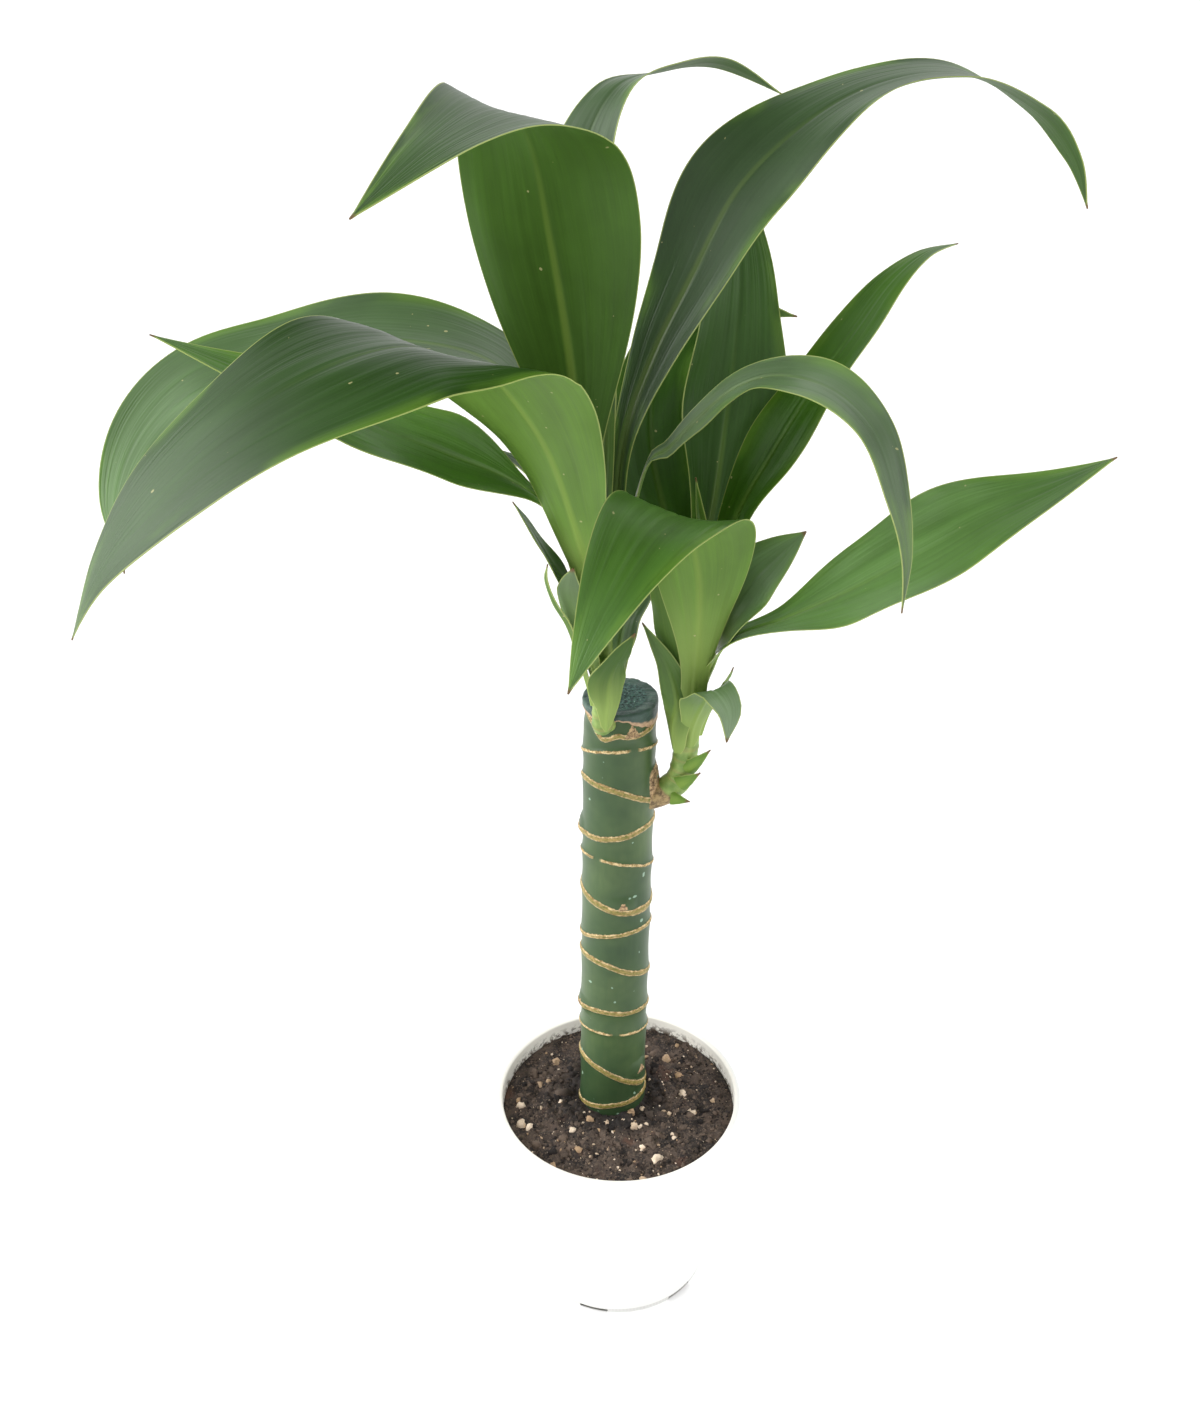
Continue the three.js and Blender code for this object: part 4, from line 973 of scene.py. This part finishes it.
def midribFrames(leaf, shoot):
    # points evenly spaced along the midrib, each with its frame, width and bend
    look = {**blade, **leaf}
    rows = midribRows(leaf, shoot)
    samples = blade["samples"]
    track = np.array([onCurve(rows, i / samples * (len(rows) - 1)) for i in range(samples + 1)])
    steps = np.linalg.norm(np.diff(track[:, :3], axis=0), axis=1)
    lengths = np.concatenate([[0], np.cumsum(steps)])
    total = lengths[-1]
    places = np.linspace(0, total, round(total / blade["rowLength"]) + 1)
    evenly = np.stack([np.interp(places, lengths, track[:, k]) for k in range(4)], axis=1)
    tangents = np.gradient(evenly[:, :3], axis=0)
    heading = radians(leaf["heads"])
    level = Vector((-sin(heading), cos(heading), 0))
    atBase = shootAt(shoot, leaf["height"])[2] * look["clasp"]
    frames = []
    for (x, y, z, roll), direction, place in zip(evenly, tangents, places):
        u = place / total
        tangent = Vector(direction).normalized()
        side = (level - tangent * level.dot(tangent)).normalized()
        turn = radians(roll)
        side = side * cos(turn) + tangent.cross(side) * sin(turn)
        axisX, axisY, _ = shootAt(shoot, z)
        reach = hypot(x - axisX, y - axisY)
        swell = lerp(atBase, leaf["halfWidth"], smoothstep(u, look["neck"], look["widest"]))
        narrowing = max(0, (u - look["widest"]) / (1 - look["widest"]))
        halfWidth = max(swell * (1 - narrowing ** look["taper"]), look["tipWidth"])
        opening = look["opening"] * max(0, place - look["claspHeight"])
        bend = halfWidth / (reach + opening) + look["cupping"] * min(1, halfWidth / leaf["halfWidth"])
        if abs(bend) < look["leastBend"]:
            bend = look["leastBend"]
        # the foot of the sheath is rounded
        narrow = lerp(look["baseNarrow"], 1, sqrt(min(1, place / look["baseRound"])))
        frames.append((Vector((x, y, z)), side, tangent.cross(side), halfWidth * narrow, bend * narrow))
    return frames, total


def bladeTree():
    # a thin closed blade laid across a midrib whose points carry its frame, width and bend
    given = newTree("leafBlade", bladeInputs)
    sheet = geometry("MeshGrid", {
        "Size X": 2.0, "Size Y": 1.0, "Vertices X": given.columns, "Vertices Y": given.rows})
    here = geometry("InputPosition")
    t, lengthwise, _ = separate(here)
    u = plus(lengthwise, 0.5)
    row = calc("ROUND", times(u, minus(given.rows, 1.0)))

    def fromPath(value, kind="FLOAT"):
        wires = {"Geometry": given.geometry, "Value": value, "Index": row}
        return geometry("SampleIndex", wires, data_type=kind)

    middle, side, upper = (fromPath(value, "FLOAT_VECTOR") for value in (
        here, named("side", "FLOAT_VECTOR"), named("upper", "FLOAT_VECTOR")))
    halfWidth, bend = fromPath(named("halfWidth")), fromPath(named("bend"))
    travelled = times(u, given.length)

    angle = times(bend, t)
    sine, cosine = calc("SINE", angle), calc("COSINE", angle)
    radius = calc("DIVIDE", halfWidth, bend)
    outward = times(radius, sine)
    fade = calc("SINE", times(u, pi))
    pace = calc("MULTIPLY_ADD", u, blade["ripplePace"], given.phase)
    wave = calc("SINE", plus(pace, times(t, blade["rippleSkew"])))
    margins = times(times(t, t), times(given.ripple, halfWidth))
    lift = plus(times(radius, minus(1.0, cosine)), times(margins, wave, fade))

    # what the plain rule leaves out: a groove over the midrib, soft ribs and an uneven surface
    off = times(t, halfWidth)
    hollow = times(ramp(calc("ABSOLUTE", off), given.grooveWidth, 0.0), given.groove, ramp(u, 1.0, 0.5))
    vein = times(t, given.widest)
    wide = ramp(halfWidth, times(given.widest, 0.15), times(given.widest, 0.7))

    def relief(across, pace, depth):
        place = combine(across, times(travelled, pace), given.seed)
        return times(minus(noiseAt(place, 1.0, 1.0, 0.5), 0.5), depth)

    ribs = relief(calc("DIVIDE", vein, given.veinPitch), 7.0, times(given.corrugation, 4.0))
    uneven = relief(times(off, 18.0), 14.0, times(given.unevenness, 2.0))
    lift = plus(minus(lift, hollow), times(plus(ribs, uneven), times(wide, fade)))

    normal = vec("SUBTRACT", scaled(upper, cosine), scaled(side, sine))
    edgeward = calc("ABSOLUTE", t)
    thickness = plus(given.midrib, times(edgeward, minus(given.margin, given.midrib)))
    spot = vec("ADD", middle, vec("ADD", scaled(side, outward), scaled(upper, lift)))
    spot = vec("SUBTRACT", spot, scaled(normal, times(thickness, 0.5)))

    # kept before the sheet is moved, because these read the flat sheet
    marks = {"fromMiddle": off, "vein": vein, "fromBase": travelled, "seed": given.seed, "along": u,
             "fromEdge": times(minus(1.0, edgeward), halfWidth), "fromTip": minus(given.length, travelled),
             "tone": ramp(u, 0.5, 1.0, given.toneLow, given.toneHigh), "underTone": given.under,
             "sheenPaint": ramp(u, 0.5, 1.0, given.bloomLow, given.bloomHigh), "sheath": given.sheath}
    for name, value in marks.items():
        sheet = store(sheet, name, value)
    sheet = store(sheet, "rise", scaled(normal, thickness), "FLOAT_VECTOR")
    lower = geometry("SetPosition", {"Geometry": sheet, "Position": spot})
    wires = {"Mesh": lower, "Offset": named("rise", "FLOAT_VECTOR"), "Offset Scale": 1.0, "Individual": False}
    raised = add("GeometryNodeExtrudeMesh", wires).outputs
    both = add("GeometryNodeJoinGeometry")
    feed(both.inputs[0], store(raised["Mesh"], "upperFace", raised["Top"], domain="FACE"))
    feed(both.inputs[0], geometry("FlipFaces", {"Mesh": lower}))
    closed = geometry("MergeByDistance", {"Geometry": both.outputs[0], "Distance": 2e-6})
    return endTree(geometry("FlipFaces", {"Mesh": closed}), leafSkin)


def leafMaterial():
    material, shader, place = newMaterial("cornLeaf")
    lengths = read("fromMiddle", "fromEdge", "fromBase", "fromTip", "vein", "sheath")
    fromMiddle, fromEdge, fromBase, fromTip, vein, reach = (times(value, 1 / mm) for value in lengths)
    along, tone, underTone, sheenPaint, seed, upper = read(
        "along", "tone", "underTone", "sheenPaint", "seed", "upperFace")

    def strand(pitch, stretch, detail=2.0, roughness=0.6):
        across = calc("DIVIDE", vein, pitch)
        return noiseAt(combine(across, calc("DIVIDE", fromBase, stretch), seed), 1.0, detail, roughness)

    # painted sheen: the grey mixed in here stands in for reflected light
    def shade(lightness, dark, light, grey):
        return blend(sheenPaint, blend(lightness, dark, light), grey)

    fine, broad = strand(0.9, 90.0), strand(4.5, 130.0)
    cloud = strand(30.0, 60.0, 3.0, 0.55)
    paint = blend(upper, shade(underTone, *leafPaints["below"]), shade(tone, *leafPaints["above"]))
    streaks = plus(times(fine, 0.45), times(broad, 0.55))
    paint = scaled(paint, times(ramp(streaks, 0.32, 0.7, 0.86, 1.16, False),
                                ramp(cloud, 0.3, 0.7, 0.84, 1.16, False)))

    # the midrib shows as a pale streak below and a faint one above, strongest near the base
    ribWidth = ramp(along, 0.0, 0.8, 4.0, 1.2, False)
    rib = ramp(calc("ABSOLUTE", fromMiddle), ribWidth, times(ribWidth, 0.15))
    shown = times(rib, ramp(along, 0.75, 0.25), ramp(upper, 0.0, 1.0, 0.55, 0.25, False))
    paint = blend(shown, paint, leafPaints["rib"])

    # painted light: the blade is painted lighter along some stretches of its margins
    paintedEdgeLight = times(ramp(fromEdge, 8.0, 0.0), ramp(cloud, 0.45, 0.62), upper, 0.4)
    paint = blend(paintedEdgeLight, paint, leafPaints["paintedEdgeLight"])

    # pale sheath at the base, pale line along the margin, brown at the tip and in a few small flecks
    pale = ramp(plus(fromBase, times(broad, 20.0)), reach, times(reach, 0.3))
    paint = blend(times(pale, 0.85), paint, leafPaints["sheath"])
    wander = plus(fromEdge, times(minus(cloud, 0.5), 0.5))
    paint = blend(times(ramp(wander, 0.6, 0.25), 0.65), paint, leafPaints["margin"])
    paint = blend(ramp(minus(fromTip, times(streaks, 4.0)), 1.6, -1.0), paint, leafPaints["tip"])
    paint = blend(times(patches(place, 260, 0.785, 0.8, 1), 0.7), paint, leafPaints["speck"])
    gloss = ramp(upper, 0.0, 1.0, 0.55, 0.36, False)
    setSurface(shader, paint, plus(gloss, ramp(streaks, 0.3, 0.7, -0.05, 0.07, False)), 0.26)
    ribbed = addBump(shader, times(broad, ramp(upper, 0.0, 1.0, 0.4, 1.0)), 0.5, 1.1)
    addBump(shader, fine, 0.2, 0.2, ribbed)
    return material


def makeBlade(name, frames, total, values, tones, sheenPaints):
    middles, sides, uppers, halfWidths, bends = zip(*frames)
    piece = pathPiece(name, [middle * mm for middle in middles], {
        "side": sides, "upper": uppers, "halfWidth": [width * mm for width in halfWidths], "bend": bends})
    looks = dict(zip(("toneLow", "toneHigh", "bloomLow", "bloomHigh"), (*tones, *sheenPaints)))
    grow(piece, leafTree, {**bladeInputs, "rows": len(frames), "length": total * mm, **looks, **values})
    return piece


def makeLeaf(name, leaf, seed):
    frames, total = midribFrames(leaf, shootOf(name))
    piece = makeBlade(name + "_blade", frames, total, {
        "widest": leaf["halfWidth"] * mm, "phase": float(leaf["height"]), "seed": seed * blade["seedStep"],
        "under": float(leaf.get("under", leaf["tone"][0])),
        "sheath": leaf.get("sheath", blade["sheath"]) * mm}, leaf["tone"], leaf["sheenPaint"])
    dress(piece, name, blade["sharpAngle"])


def makeScale(number, values):
    root, tip = Vector(values["root"]), Vector(values["tip"])
    along = tip - root
    facing = Vector(stemScales["facing"])
    facing = (facing - along * facing.dot(along) / along.length_squared).normalized()
    side = along.cross(facing).normalized()
    frames = []
    for i in range(stemScales["rows"] + 1):
        u = i / stemScales["rows"]
        middle = root + along * u + facing * 4 * stemScales["bow"] * u * (1 - u)
        halfWidth = values["halfWidth"] * max(1 - u ** stemScales["pointed"], stemScales["tipShare"])
        frames.append((middle, side, -facing, halfWidth, stemScales["bend"]))
    piece = makeBlade(f"right_stem_scale_{number}", frames, along.length, {
        "columns": stemScales["columns"], "widest": values["halfWidth"] * mm, "seed": float(number),
        "under": stemScales["tone"][0], "sheath": stemScales["sheath"] * mm,
        **dict.fromkeys(("corrugation", "unevenness", "groove"), 0.0)}, stemScales["tone"], (0.0, 0.0))
    dress(piece, angle=blade["sharpAngle"])


stemSkin = stemMaterial()
stemInputs = {"sides": stemLook["sides"], "roughness": stemLook["roughness"] * mm}
stemTree = sweepTree(stemInputs)
for name, values in stems.items():
    makeStem(name, values, stemTree, stemInputs)
leafSkin = leafMaterial()
leafTree = bladeTree()
for number, values in enumerate(stemScales["places"], 1):
    makeScale(number, values)
print("stems")
for seed, (name, leaf) in enumerate(leaves.items()):
    makeLeaf(name, leaf, seed)
print("leaves:", len(leaves))

print("pieces done")
